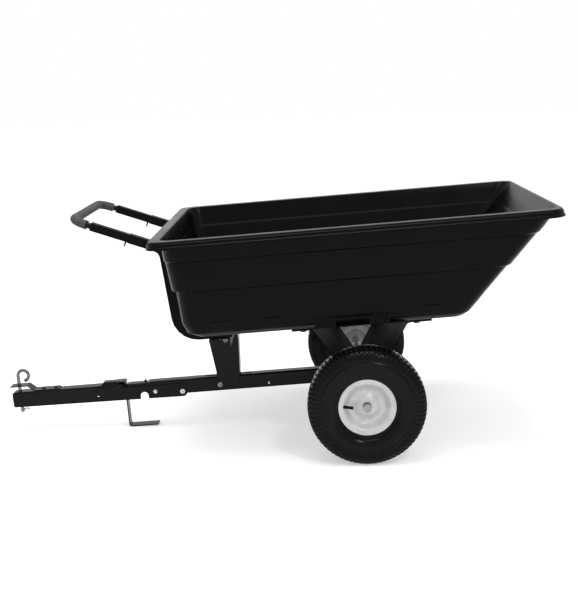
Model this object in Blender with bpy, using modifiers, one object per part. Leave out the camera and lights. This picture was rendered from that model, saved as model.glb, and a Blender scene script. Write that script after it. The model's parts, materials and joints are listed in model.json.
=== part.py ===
"""Garden tractor trailer: a moulded tub on a folded steel chassis with two wheels.

The tongue folds under the drawbar, the pedal springs back, the handle slides out of its sleeves, and
the hitch pin lifts out once its clip is drawn. Everything is modelled square to the tub's rim, with the
axle's centre at (0, 0, 0), X to the rear, Y to the right and Z up, in metres. The root empty then
leans it forward until it stands on both tyres and on the pedal's foot.
"""

import math

import bmesh
import bpy
from mathutils import Matrix, Vector

GAP = 0.0003  # between pieces that touch
TURN_GAP = 0.0004  # round a pin in its hole
PAST = 0.010  # how far a cutter stands out of what it cuts
BELOW = 0.080  # how far down the channels' cutters reach
ACROSS = 0.050  # how far to each side the cutters across the drawbar reach

# Wheels
TYRE_RADIUS = 0.1775
TYRE_WIDTH = 0.110
TRACK = 0.772
TREAD_PITCHES = 32
TREAD_DEPTH = 0.0055
RIM_LIP_RADIUS = 0.0858
RIM_SEAT_RADIUS = 0.0740
RIM_WIDTH = 0.072
RIM_SHEET = 0.0025
HUB_RADIUS = 0.0150
HUB_LENGTH = 0.070
AXLE_RADIUS = 0.0080
CAP_RADIUS = 0.0125
CAP_LENGTH = 0.008
VALVE_BASE_RADIUS = 0.0632
VALVE_DEPTH = 0.0091
VALVE_ANGLE = math.radians(21)
VALVE_TURN = math.radians(5)
VALVE_LENGTH = 0.026
VALVE_RADIUS = 0.0042

# Tub: front and rear x, half width and corner radius of the outside at each height
TUB_WALL = 0.0045
TUB_FLOOR = 0.228
TUB_LEVELS = (
    (0.228, -0.480, 0.290, 0.300, 0.050),
    (0.2330, -0.4990, 0.309, 0.322, 0.052),
    (0.246, -0.519, 0.3285, 0.340, 0.055),
    (0.275, -0.529, 0.3540, 0.352, 0.058),
    (0.304, -0.5315, 0.3805, 0.3575, 0.060),
    (0.380, -0.5385, 0.4480, 0.368, 0.060),
    (0.384, -0.550, 0.4565, 0.377, 0.062),
    (0.472, -0.559, 0.5345, 0.387, 0.062),
    (0.476, -0.5615, 0.5405, 0.395, 0.064),
    (0.514, -0.564, 0.5720, 0.400, 0.064),
)
TUB_CORNER_STEPS = 6
PAD_PLACES = ((-0.441, -0.380), (-0.283, -0.225), (0.189, 0.238))  # front and rear x of each pad
PAD_PROUD = 0.0025
PAD_TOP = 0.278
POCKET_PLACES = ((-0.1275, -0.078), (0.0325, 0.0835))  # front and rear x of each bolt pocket
POCKET_DEPTH_Y = 0.3175
POCKET_TOP = 0.262
MOUTH_FRONT = -0.583
MOUTH_REAR = 0.590
MOUTH_HALF = 0.417
RIM_TOP = 0.540
RIM_HALF_LENGTH = 0.603
RIM_HALF_WIDTH = 0.438
RIM_CORNER = 0.048
RIM_FILLET = 0.005
RIM_LIP_BOTTOM = 0.517
RIM_BEAD_HEIGHT = 0.011
RIM_BEAD_DEPTH = 0.0015

# Frame tubes, their sleeves and the handle
TUBE_SIDE = 0.0274
TUBE_WALL = 0.0012
TUBE_OFFSET = 0.221
ARM_ANGLE = math.radians(22.3)
ARM_MOUTH = (-0.791, 0.5779)
FRAME_MOUTH_DEPTH = 0.121
TUBE_TOP_CORNER = (-0.5785, 0.4908)
TUBE_BOTTOM_CORNER_X = -0.5572
TUBE_FLOOR_END = -0.395
TUBE_TOP_BEND = 0.040
TUBE_BOTTOM_BEND = 0.067
SLEEVE_WALL = 0.0022
SLEEVE_OVERLAP = 0.045
HANDLE_RADIUS = 0.0095
HANDLE_REACH = 0.060
HANDLE_INSERT = 0.170
HANDLE_BEND = 0.040
GRIP_RADIUS = 0.0140
GRIP_START = 0.017
WING_OFFSET = 0.114
WING_THREAD_RADIUS = 0.0030
WING_WIDTH = 0.017
WING_HEIGHT = 0.013
WING_SHEET = 0.0036
WING_NECK = 0.004

# Drawbar
BAR_HALF_WIDTH = 0.0200
BAR_TOP = 0.0182
BAR_BOTTOM = -0.0300
BAR_SHEET = 0.003
BAR_REAR = 0.022
BEND_RADIUS = 0.007  # outside of each folded edge
NOSE_FRONT = -0.7822
NOSE_REAR = -0.7145
NOSE_STEP = 0.008
NOSE_TOP = 0.0145
NOSE_BOTTOM = -0.0110
NOSE_HOLE_X = -0.764
NOSE_HOLE_RADIUS = 0.004
NOSE_TAB_X = -0.722
NOSE_TAB_TOP = 0.0215
BAR_SLOTS_X = (-0.5000, -0.3815)
BAR_SLOT_LENGTH = 0.034
BAR_SLOT_WIDTH = 0.010
PIVOT = (-0.598, -0.022)
PIVOT_RADIUS = 0.005
LUG_RADIUS = 0.0125
BAR_HOLE = (-0.308, -0.0177)
BAR_HOLE_RADIUS = 0.00425
BAR_FAR_HOLE = (-0.312, -0.0232)

# Tongue
TONGUE_SHEET = 0.003
TONGUE_FRONT = -1.170
TONGUE_CORNER = 0.006
TONGUE_REAR = -0.5834
TONGUE_BOTTOM_FRONT = -0.0340
TONGUE_BOTTOM_REAR = -0.0393
TONGUE_TOP = 0.0165
TONGUE_WEB_REAR = -0.819
HOOD_FRONT = -0.871
HOOD_REAR = -0.795
HOOD_TOP = 0.0265
HOOD_SLOPE = 0.010
HOOD_HALF_WIDTH = 0.013
HOOD_FOOT = 0.008
TONGUE_CUT_TOP = 0.005
SLOT_CENTRE = (-0.883, -0.0185)
SLOT_LENGTH = 0.0105
SLOT_HEIGHT = 0.0045
FAR_SLOT_CENTRE = (-0.8915, -0.0275)
FAR_SLOT_HEIGHT = 0.010
NOTCH_CENTRE_X = -0.7265
NOTCH_WIDTH = 0.0265
NOTCH_TOP = -0.0145
NOTCH_FAR_EXTRA = 0.009
STOP_BOLT = (-0.689, -0.0155)
STOP_RADIUS = 0.004

# Hitch
STRAP_FRONT = -1.1745
STRAP_RISE_FRONT = -1.1165
STRAP_RISE_REAR = -1.096
STRAP_REAR = -1.0127
STRAP_UNDERSIDE = 0.0345
STRAP_THICKNESS = 0.0035
STRAP_HALF_WIDTH = 0.019
RIVETS_X = (-1.0675, -1.026)
RIVET_RADIUS = 0.0035
PIN_X = -1.149
PIN_RADIUS = 0.0060
PIN_HOLE_GAP = 0.0006
PIN_BOTTOM = -0.057
PIN_LOOP_RADIUS = 0.0178
PIN_LOOP_HEIGHT = 0.0685
PIN_LOOP_TURN = math.radians(262)
CLIP_WIRE = 0.0013
CLIP_HEIGHT = -0.0495
CLIP_FRONT = 0.010  # how far the straight leg stands out in front of the pin's axis
CLIP_BOW_LENGTH = 0.025
CLIP_BOW_WIDTH = 0.016

# Pedal
PEDAL_HALF_WIDTH = 0.018
PEDAL_THICKNESS = 0.004
PEDAL_FRONT = -0.791
PEDAL_FOOT = -0.1335
PEDAL_FOOT_REAR = -0.692
PEDAL_BEND = 0.008
PEDAL_HEAD_FRONT = -0.8185
PEDAL_PIN = (-0.7765, -0.0035)
PEDAL_PIN_RADIUS = 0.0028
PEDAL_HEAD_BEND = 0.005
EAR_HALF_SPAN = 0.0155
EAR_THICKNESS = 0.0025
EAR_RADIUS = 0.0062
SPRING_RADIUS = 0.0045
SPRING_WIRE = 0.0007
SPRING_TURNS = 6
SPRING_END_GAP = 0.0018

# Post and crossmember
POST_INSIDE = 0.0265
POST_SHEET = 0.003
POST_BOTTOM = -0.0145
POST_TOP = 0.166
POST_WEB_BOTTOM = 0.026
POST_FOOT_RADIUS = 0.012
POST_REAR = ((-0.408, POST_BOTTOM), (-0.400, 0.037), (-0.394, 0.145), (-0.397, POST_TOP))
POST_FRONT = ((-0.484, POST_TOP), (-0.4925, 0.145), (-0.478, 0.037))
POST_LOWER_BOLT = (-0.4696, -0.0072)
POST_UPPER_BOLT = (-0.4375, 0.1438)
POST_BOLT_RADIUS = 0.004
BEAM_FRONT = -0.463
BEAM_REAR = -0.401
BEAM_DEPTH = 0.0279
BEAM_SHEET = 0.0025
BEAM_HALF_LENGTH = 0.240
BEAM_LUG_BOTTOM = 0.1305
BEAM_LUG_HALF = 0.018
TUBE_BOLT_RADIUS = 0.003

# Cradle and rails
CRADLE_SHEET = 0.003
CRADLE_HALF_LENGTH = 0.300
CRADLE_FOOT_HALF = 0.0155
CRADLE_FOOT_Z = 0.009
CRADLE_VALLEY_Z = -0.020
CRADLE_SHOULDER = 0.1415
CRADLE_BEND = 0.016
CRADLE_TOP = 0.2205
CRADLE_FRONT = -0.2065
CRADLE_REAR = 0.216
CRADLE_SLOT_HALF = 0.0303
CRADLE_SLOT_TOP = 0.030
RAIL_INSIDE = 0.262
RAIL_BOLT_X = 0.172
RAIL_BOLT_RADIUS = 0.004


def collection(name):
    """A new collection in the scene."""
    made = bpy.data.collections.new(name)
    bpy.context.scene.collection.children.link(made)
    return made


def clear_scene():
    """Removes the objects that a new file starts with."""
    for old in list(bpy.data.objects):
        bpy.data.objects.remove(old, do_unlink=True)


clear_scene()
PARTS = collection("garden_tractor_trailer")
CUTTERS = collection("cutters")


def finish(name, colour, roughness, metallic):
    """A material with one Principled BSDF."""
    made = bpy.data.materials.new(name)
    made.use_nodes = True
    shader = made.node_tree.nodes["Principled BSDF"]
    shader.inputs["Base Color"].default_value = (*colour, 1)
    shader.inputs["Roughness"].default_value = roughness
    shader.inputs["Metallic"].default_value = metallic
    made.diffuse_color = (*colour, 1)
    return made


TUB_PLASTIC = ("black polyethylene", (0.012, 0.012, 0.013), 0.45, 0.0)
COATED_STEEL = ("black powder-coated steel", (0.016, 0.016, 0.017), 0.40, 0.0)
ZINC = ("zinc-plated steel", (0.55, 0.55, 0.53), 0.35, 1.0)
WIRE_STEEL = ("spring steel", (0.42, 0.42, 0.41), 0.35, 1.0)
TYRE_RUBBER = ("tyre rubber", (0.018, 0.018, 0.018), 0.65, 0.0)
WHEEL_PAINT = ("silver wheel paint", (0.60, 0.60, 0.60), 0.40, 0.0)
GRIP_FOAM = ("grey grip", (0.085, 0.085, 0.090), 0.80, 0.0)
VALVE_RUBBER = ("valve rubber", (0.010, 0.010, 0.010), 0.60, 0.0)


def empty(name, parent=None, at=(0, 0, 0)):
    """An axis that pieces hang on: each mesh is stored relative to it."""
    made = bpy.data.objects.new(name, None)
    made.empty_display_size = 0.03
    made.parent = parent
    made.location = at
    PARTS.objects.link(made)
    return made


def mesh_object(name, mesh, group=PARTS):
    """An object that holds the mesh."""
    made = bpy.data.objects.new(name, mesh)
    group.objects.link(made)
    return made


def smooth(made, angle=math.radians(40)):
    """Shades the piece smooth, with its real corners left sharp."""
    made.data.shade_smooth()
    made.data.set_sharp_from_angle(angle=angle)
    return made


def add(made, look, axis, sharp=math.radians(40)):
    """Hangs a piece modelled in the trailer's frame on its axis, and gives it its own material."""
    made.data.transform(Matrix.Translation(-axis.location))
    made.parent = axis
    made.data.materials.clear()
    made.data.materials.append(finish(f"{made.name}: {look[0]}", *look[1:]))
    return smooth(made, sharp)


def from_bmesh(name, shape):
    """The object of a bmesh, with its faces pointing out."""
    bmesh.ops.recalc_face_normals(shape, faces=shape.faces)
    mesh = bpy.data.meshes.new(name)
    shape.to_mesh(mesh)
    shape.free()
    return mesh_object(name, mesh)


def box(name, low, high):
    """A block between two corners."""
    shape = bmesh.new()
    bmesh.ops.create_cube(shape, size=1)
    size = [b - a for a, b in zip(low, high)]
    centre = [(a + b) / 2 for a, b in zip(low, high)]
    bmesh.ops.transform(shape, matrix=Matrix.LocRotScale(centre, None, size), verts=shape.verts)
    return from_bmesh(name, shape)


def rod(name, start, end, radius, sides=12):
    """A round bar between two points."""
    start, end = Vector(start), Vector(end)
    along = end - start
    turn = along.to_track_quat("Z", "Y").to_matrix().to_4x4()
    shape = bmesh.new()
    bmesh.ops.create_cone(
        shape,
        cap_ends=True,
        segments=sides,
        radius1=radius,
        radius2=radius,
        depth=along.length,
        matrix=Matrix.Translation((start + end) / 2) @ turn,
    )
    return from_bmesh(name, shape)


def mesh_of_curve(made):
    """Swaps a curve object for the mesh it shows, with its caps welded on."""
    bpy.context.view_layer.update()
    graph = bpy.context.evaluated_depsgraph_get()
    mesh = bpy.data.meshes.new_from_object(made.evaluated_get(graph))
    shape = bmesh.new()
    shape.from_mesh(mesh)
    bmesh.ops.transform(shape, matrix=made.matrix_world, verts=shape.verts)
    bmesh.ops.remove_doubles(shape, verts=shape.verts, dist=0.00001)
    name = made.name
    bpy.data.objects.remove(made, do_unlink=True)
    return from_bmesh(name, shape)


def curve(name, points, cyclic, flat=False):
    """A curve object with one straight-sided spline."""
    data = bpy.data.curves.new(name, "CURVE")
    data.dimensions = "2D" if flat else "3D"
    spline = data.splines.new("POLY")
    spline.points.add(len(points) - 1)
    for target, point in zip(spline.points, points):
        target.co = (*point, 0, 1) if len(point) == 2 else (*point, 1)
    spline.use_cyclic_u = cyclic
    return mesh_object(name, data)


def side_plate(name, outline, low, high):
    """A flat outline in X and Z, as thick as the span from y low to y high."""
    made = curve(name, outline, cyclic=True, flat=True)
    made.data.fill_mode = "BOTH"
    made.data.extrude = (high - low) / 2
    made.rotation_euler.x = math.pi / 2
    made.location.y = (low + high) / 2
    return mesh_of_curve(made)


def tube(name, path, radius, resolution=2):
    """A round bar or wire along a path."""
    made = curve(name, path, cyclic=False)
    made.data.bevel_depth = radius
    made.data.bevel_resolution = resolution
    made.data.use_fill_caps = True
    return mesh_of_curve(made)


def rounded(points, radii, steps=5):
    """The path with each inner corner swapped for an arc of its radius."""
    points = [Vector(p) for p in points]
    path = [points[0]]
    for before, corner, after, radius in zip(points, points[1:], points[2:], radii):
        first, second = (before - corner).normalized(), (after - corner).normalized()
        half = first.angle(second) / 2
        middle = (first + second).normalized()
        centre = corner + middle * (radius / math.sin(half))
        start = corner + first * (radius / math.tan(half)) - centre
        end = corner + second * (radius / math.tan(half)) - centre
        sweep = math.pi - 2 * half
        for k in range(steps + 1):
            t = k / steps
            mix = start * math.sin((1 - t) * sweep) + end * math.sin(t * sweep)
            path.append(centre + mix / math.sin(sweep))
    path.append(points[-1])
    return [tuple(p) for p in path]


def ring_outline(centre, radii, sides):
    """Points round an ellipse in X and Z."""
    angles = [2 * math.pi * k / sides for k in range(sides)]
    return [(centre[0] + radii[0] * math.cos(a), centre[1] + radii[1] * math.sin(a)) for a in angles]


def offset_path(path, distance):
    """A flat path moved sideways by a distance, to the left of its direction."""
    path = [Vector(p) for p in path]
    moved = []
    for k, point in enumerate(path):
        before = (point - path[max(k - 1, 0)]).normalized() if k else None
        after = (path[k + 1] - point).normalized() if k < len(path) - 1 else None
        before, after = before or after, after or before
        along = (before + after).normalized()
        reach = distance / max(along.dot(after), 0.2)
        moved.append((point.x - along.y * reach, point.y + along.x * reach))
    return moved


def bar_along(name, outline, front, rear):
    """A bar along X with an outline in Y and Z, which may run either way round."""
    turning = sum(a[0] * b[1] - b[0] * a[1] for a, b in zip(outline, [*outline[1:], outline[0]]))
    if turning < 0:
        outline = outline[::-1]
    return loft(name, [[(x, y, z) for y, z in outline] for x in (front, rear)], caps=(True, True))


def folded_outline(half_width, top, low, radius, steps=4):
    """The outline in Y and Z of a bar whose two upper edges are round."""
    points = [(half_width, low)]
    for middle, first in ((half_width - radius, 0), (radius - half_width, math.pi / 2)):
        for k in range(steps + 1):
            a = first + math.pi / 2 * k / steps
            points.append((middle + radius * math.cos(a), top - radius + radius * math.sin(a)))
    return [*points, (-half_width, low)]


def edge_cutters(name, front, rear, half_width, top, radius, steps=4):
    """Cutters that round both upper edges of a bar along X."""
    arc = [math.pi / 2 * k / steps for k in range(1, steps)]
    side, past = half_width - radius, radius / 7
    outline = [(half_width + past, top - 1.25 * radius)]
    outline += [(side + radius * math.cos(a), top - radius + radius * math.sin(a)) for a in arc]
    outline += [(half_width - 1.25 * radius, top + past), (half_width + past, top + past)]
    mirrored = [(-y, z) for y, z in outline]
    return [bar_along(f"{name}_{k}", points, front, rear) for k, points in enumerate((outline, mirrored))]


def square_tube(name, path, side, y):
    """A square bar along a path in X and Z."""
    outline = offset_path(path, side / 2) + offset_path(path, -side / 2)[::-1]
    return side_plate(name, outline, y - side / 2, y + side / 2)


def helper(made):
    """Marks a piece that only shapes another."""
    for group in made.users_collection:
        group.objects.unlink(made)
    CUTTERS.objects.link(made)
    made.hide_render = True
    made.display_type = "WIRE"
    made.parent = ROOT
    return made


def combine(made, other, operation):
    """Adds a Boolean with another piece, which becomes a helper."""
    step = made.modifiers.new(f"{operation.lower()} {other.name}", "BOOLEAN")
    step.operation = operation
    step.solver = "EXACT"
    step.object = helper(other)
    return made


def cut(made, *others):
    """Takes the other pieces out of this one."""
    for other in others:
        combine(made, other, "DIFFERENCE")
    return made


def join(made, *others):
    """Makes the other pieces part of this one."""
    for other in others:
        combine(made, other, "UNION")
    return made


def hole(name, at, radius, half_span, sides=12):
    """A cutter for a round hole across the trailer, whose flats clear the radius."""
    reach = radius / math.cos(math.pi / sides)
    return rod(name, (at[0], -half_span, at[1]), (at[0], half_span, at[1]), reach, sides)


def loft(name, sections, cyclic=False, caps=(False, False)):
    """One skin over sections that have as many points each, but unlike outlines."""
    shape = bmesh.new()
    rings = [[shape.verts.new(p) for p in section] for section in sections]
    pairs = list(zip(rings, rings[1:] + rings[:1])) if cyclic else list(zip(rings, rings[1:]))
    for low, high in pairs:
        for k in range(len(low)):
            after = (k + 1) % len(low)
            shape.faces.new((low[k], low[after], high[after], high[k]))
    for wanted, ring in zip(caps, (rings[0], rings[-1])):
        if wanted:
            shape.faces.new(ring)
    return from_bmesh(name, shape)


def hex_radius(across_flats, angle):
    """How far a hexagon reaches at an angle from one of its corners."""
    within = (angle + math.pi / 6) % (math.pi / 3) - math.pi / 6
    return across_flats / 2 / math.cos(abs(within) - math.pi / 6)


def bolt(name, start, end, radius, head=0.0026, head_flats=2.0, nut=0.0, nut_from=0.0):
    """A bolt: a hexagon head before the start, a round shank, and a nut at its far end.

    The head and nut stand on the outside of what the bolt holds; nut_from is where the nut starts.
    """
    start, end = Vector(start), Vector(end)
    turn = (end - start).to_track_quat("Z", "Y").to_matrix()
    length = (end - start).length
    flats = head_flats * 2 * radius

    def ring(along, hexagon):
        angles = [math.pi * k / 6 for k in range(12)]
        reach = [hex_radius(flats, a) if hexagon else radius for a in angles]
        points = [Vector((r * math.cos(a), r * math.sin(a), along)) for r, a in zip(reach, angles)]
        return [start + turn @ p for p in points]

    sections = [ring(-head, True), ring(0, True), ring(0, False)]
    if nut:
        sections += [ring(nut_from, False), ring(nut_from, True), ring(nut_from + nut, True)]
        sections += [ring(nut_from + nut, False)]
    sections.append(ring(length, False))
    return loft(name, sections, caps=(True, True))


def turned(name, profile, steps, axis, look, side):
    """A profile of (radius, distance outboard) turned about the wheel's axle."""
    mesh = bpy.data.meshes.new(name)
    count = len(profile)
    mesh.from_pydata([(r, 0, z) for r, z in profile], [(k, (k + 1) % count) for k in range(count)], [])
    made = mesh_object(name, mesh)
    made.parent = axis
    made.rotation_euler.x = side * -math.pi / 2
    screw = made.modifiers.new("turn", "SCREW")
    screw.steps = screw.render_steps = steps
    screw.use_merge_vertices = True
    screw.merge_threshold = 0.0001
    screw.use_smooth_shade = True
    mesh.materials.append(finish(f"{name}: {look[0]}", *look[1:]))
    return made


ROOT = empty("trailer")


def wheel_axis(label, side):
    """The axis that one wheel turns on."""
    return empty(f"wheel_{label}_axis", ROOT, (0, side * TRACK / 2, 0))


def rounded_rectangle(front, rear, half_width, radius, height):
    """Points round a rectangle with round corners at one height."""
    centres = (
        (rear - radius, half_width - radius, 0),
        (front + radius, half_width - radius, 90),
        (front + radius, -half_width + radius, 180),
        (rear - radius, -half_width + radius, 270),
    )
    points = []
    for x, y, first in centres:
        for k in range(TUB_CORNER_STEPS + 1):
            a = math.radians(first + 90 * k / TUB_CORNER_STEPS)
            points.append((x + radius * math.cos(a), y + radius * math.sin(a), height))
    return points


def rim_ring(inset, height):
    """A ring round the tub's rim, drawn in from its outside."""
    length, width = RIM_HALF_LENGTH - inset, RIM_HALF_WIDTH - inset
    return rounded_rectangle(-length, length, width, RIM_CORNER - min(inset, RIM_CORNER / 2), height)


def outer_half(height):
    """Half of the tub's outside width at a height."""
    for low, high in zip(TUB_LEVELS, TUB_LEVELS[1:]):
        if low[0] <= height <= high[0]:
            share = (height - low[0]) / (high[0] - low[0])
            return low[3] + share * (high[3] - low[3])
    return TUB_LEVELS[-1][3]


def pad_outline(side):
    """A pad's outline in Y and Z: proud of the tub's lower edge, and sunk into its wall."""
    levels = [TUB_FLOOR + GAP, *(level[0] for level in TUB_LEVELS[1:3]), PAD_TOP]
    outside = [(outer_half(z) + PAD_PROUD, z) for z in levels]
    inside = [(outer_half(z) - TUB_WALL / 2, z) for z in reversed(levels[1:])]
    return [(side * y, z) for y, z in [(outside[0][0] - 3 * PAD_PROUD, levels[0]), *outside, *inside]]


def add_pads(made):
    """Joins the pads along the lower edge of both sides."""
    for label, side in (("left", -1), ("right", 1)):
        for k, (front, rear) in enumerate(PAD_PLACES):
            join(made, bar_along(f"pad_{label}_{k}", pad_outline(side), front, rear))


def add_pockets(made):
    """Lets the bolt pockets into the lower edge, each with a wall of its own inside the tub."""
    outside = outer_half(POCKET_TOP)
    low = TUB_FLOOR + TUB_WALL / 2
    for label, side in (("left", -1), ("right", 1)):
        for k, (front, rear) in enumerate(POCKET_PLACES):
            near, far = sorted((side * (POCKET_DEPTH_Y - TUB_WALL), side * (outside - TUB_WALL / 2)))
            corner = (front - TUB_WALL, near, low)
            join(made, box(f"boss_{label}_{k}", corner, (rear + TUB_WALL, far, POCKET_TOP + TUB_WALL)))
            near, far = sorted((side * POCKET_DEPTH_Y, side * (outside + RIM_FILLET)))
            corner = (front, near, TUB_FLOOR - TUB_WALL)
            cut(made, box(f"pocket_{label}_{k}", corner, (rear, far, POCKET_TOP)))


def make_tub():
    """The tub's inner and upper skin, thickened outwards and downwards."""
    rings = []
    for height, front, rear, half_width, radius in TUB_LEVELS:
        inner = (front + TUB_WALL, rear - TUB_WALL, half_width - TUB_WALL, radius - TUB_WALL)
        rings.append(rounded_rectangle(*inner, height + (TUB_WALL if height == TUB_FLOOR else 0)))
    radius = TUB_LEVELS[-1][4]
    for inset, height in ((RIM_FILLET / 2, RIM_TOP - RIM_FILLET / 2), (0, RIM_TOP)):
        mouth = (MOUTH_FRONT + inset, MOUTH_REAR - inset, MOUTH_HALF - inset, radius - TUB_WALL)
        rings.append(rounded_rectangle(*mouth, height))
    rings.append(rim_ring(RIM_FILLET + RIM_BEAD_DEPTH, RIM_TOP))
    rings.append(rim_ring(RIM_FILLET * 0.3 + RIM_BEAD_DEPTH, RIM_TOP - RIM_FILLET * 0.3))
    rings.append(rim_ring(RIM_BEAD_DEPTH, RIM_TOP - RIM_FILLET))
    rings.append(rim_ring(RIM_BEAD_DEPTH, RIM_LIP_BOTTOM + RIM_BEAD_HEIGHT))
    rings.append(rim_ring(0, RIM_LIP_BOTTOM + RIM_BEAD_HEIGHT - RIM_BEAD_DEPTH))
    rings.append(rim_ring(0, RIM_LIP_BOTTOM))
    made = loft("tub", rings, caps=(True, False))
    floor = max(made.data.polygons, key=lambda face: face.area)
    if floor.normal.z < 0:
        made.data.flip_normals()
    add(made, TUB_PLASTIC, ROOT, math.radians(30))
    shell = made.modifiers.new("wall", "SOLIDIFY")
    shell.thickness = TUB_WALL
    shell.offset = -1
    shell.use_even_offset = True
    add_pads(made)
    add_pockets(made)
    return made


def arm_point(out, y=0.0, up=0.0):
    """A point on a handle arm: its distance out of the sleeve's mouth, and above the arm's axis."""
    x = ARM_MOUTH[0] - out * math.cos(ARM_ANGLE) + up * math.sin(ARM_ANGLE)
    z = ARM_MOUTH[1] + out * math.sin(ARM_ANGLE) + up * math.cos(ARM_ANGLE)
    return (x, y, z)


def flat(point):
    """A point in X and Z alone."""
    return (point[0], point[2])


def tube_z():
    """The height of the frame tubes' centre under the tub's floor."""
    return TUB_FLOOR - GAP - TUBE_SIDE / 2


def make_frame_tube(label, side):
    """A bent square tube, open at both ends."""
    corner = TUBE_TOP_CORNER
    points = [flat(arm_point(-FRAME_MOUTH_DEPTH)), corner, (TUBE_BOTTOM_CORNER_X, tube_z())]
    points.append((TUBE_FLOOR_END, tube_z()))
    path = rounded(points, (TUBE_TOP_BEND, TUBE_BOTTOM_BEND))
    start, end = Vector(path[0]), Vector(path[-1])
    first = (start - Vector(path[1])).normalized() * 0.002
    last = (end - Vector(path[-2])).normalized() * 0.002
    bore = [tuple(start + first), *path[1:-1], tuple(end + last)]
    y = side * TUBE_OFFSET
    made = square_tube(f"frame_tube_{label}", path, TUBE_SIDE, y)
    cut(made, square_tube(f"frame_tube_bore_{label}", bore, TUBE_SIDE - 2 * TUBE_WALL, y))
    floor = tube_z() - TUBE_SIDE
    through = tube_z()
    cut(made, rod(f"tube_bolt_hole_{label}", (beam_x(), y, floor), (beam_x(), y, through), tube_bolt_hole()))
    return add(made, COATED_STEEL, ROOT)


def tube_bolt_hole():
    """The radius of the holes for the bolts that hold the frame tubes down."""
    return TUBE_BOLT_RADIUS + GAP + TURN_GAP / 2


def sleeve_side():
    """The side of the square sleeves, which slide into the frame tubes."""
    return TUBE_SIDE - 2 * TUBE_WALL - 2 * GAP


def make_sleeve(label, side):
    """The sleeve that plugs into the frame tube's mouth and guides the handle."""
    y = side * TUBE_OFFSET
    inside = -FRAME_MOUTH_DEPTH - SLEEVE_OVERLAP
    path = [flat(arm_point(0)), flat(arm_point(inside))]
    bore = [flat(arm_point(0.002)), flat(arm_point(inside - 0.002))]
    made = square_tube(f"handle_receiver_{label}", path, sleeve_side(), y)
    cut(made, square_tube(f"receiver_bore_{label}", bore, sleeve_side() - 2 * SLEEVE_WALL, y))
    low, high = arm_point(-WING_OFFSET, y, -sleeve_side()), arm_point(-WING_OFFSET, y, 0)
    cut(made, rod(f"wing_hole_{label}", low, high, WING_THREAD_RADIUS + TURN_GAP))
    return add(made, COATED_STEEL, ROOT)


def handle_path(start):
    """The handle's U, from a distance out of the left sleeve round to the right one."""
    points = [arm_point(start, -TUBE_OFFSET), arm_point(HANDLE_REACH, -TUBE_OFFSET)]
    points += [arm_point(HANDLE_REACH, TUBE_OFFSET), arm_point(start, TUBE_OFFSET)]
    return rounded(points, (HANDLE_BEND, HANDLE_BEND), steps=6)


def make_handle(axis):
    """The U tube, and the grip moulded round its crossbar."""
    made = tube("handle_tube", handle_path(-HANDLE_INSERT), HANDLE_RADIUS)
    add(made, COATED_STEEL, axis)
    bend = handle_path(GRIP_START)
    grip = tube("handle_grip", bend, GRIP_RADIUS, 3)
    bore = tube("grip_bore", handle_path(GRIP_START - 0.01), HANDLE_RADIUS + GAP)
    add(cut(grip, bore), GRIP_FOAM, axis)


def make_wing_screw(label, side, axis):
    """A screw with a flat wing, up into the sleeve's underside."""
    y = side * TUBE_OFFSET
    under = -sleeve_side() / 2
    made = rod(
        f"wing_screw_{label}",
        arm_point(-WING_OFFSET, y, under - 1.5 * WING_NECK),
        arm_point(-WING_OFFSET, y, under + SLEEVE_WALL - TURN_GAP),
        WING_THREAD_RADIUS,
        12,
    )
    outline = ring_outline((0, under - WING_NECK - WING_HEIGHT / 2), (WING_WIDTH / 2, WING_HEIGHT / 2), 16)
    sections = []
    for out in (-WING_SHEET / 2, WING_SHEET / 2):
        sections.append([arm_point(out - WING_OFFSET, y + across, up) for across, up in outline])
    join(made, loft(f"wing_{label}", sections, caps=(True, True)))
    return add(made, COATED_STEEL, axis)


def drawbar_outline():
    """The drawbar's side: the nose is lower, and it is cut away over the tongue's stop bolt."""
    px, pz = PIVOT
    return [
        (NOSE_FRONT, NOSE_TOP),
        (NOSE_FRONT, NOSE_BOTTOM),
        (px - 2 * LUG_RADIUS, NOSE_BOTTOM),
        (px - LUG_RADIUS, pz - LUG_RADIUS * 0.4),
        (px - LUG_RADIUS * 0.5, pz - LUG_RADIUS * 0.87),
        (px + LUG_RADIUS * 0.5, pz - LUG_RADIUS * 0.87),
        (px + LUG_RADIUS, BAR_BOTTOM),
        (BAR_REAR, BAR_BOTTOM),
        (BAR_REAR, BAR_TOP),
        (NOSE_REAR + NOSE_STEP, BAR_TOP),
        (NOSE_REAR, NOSE_TOP),
    ]


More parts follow.
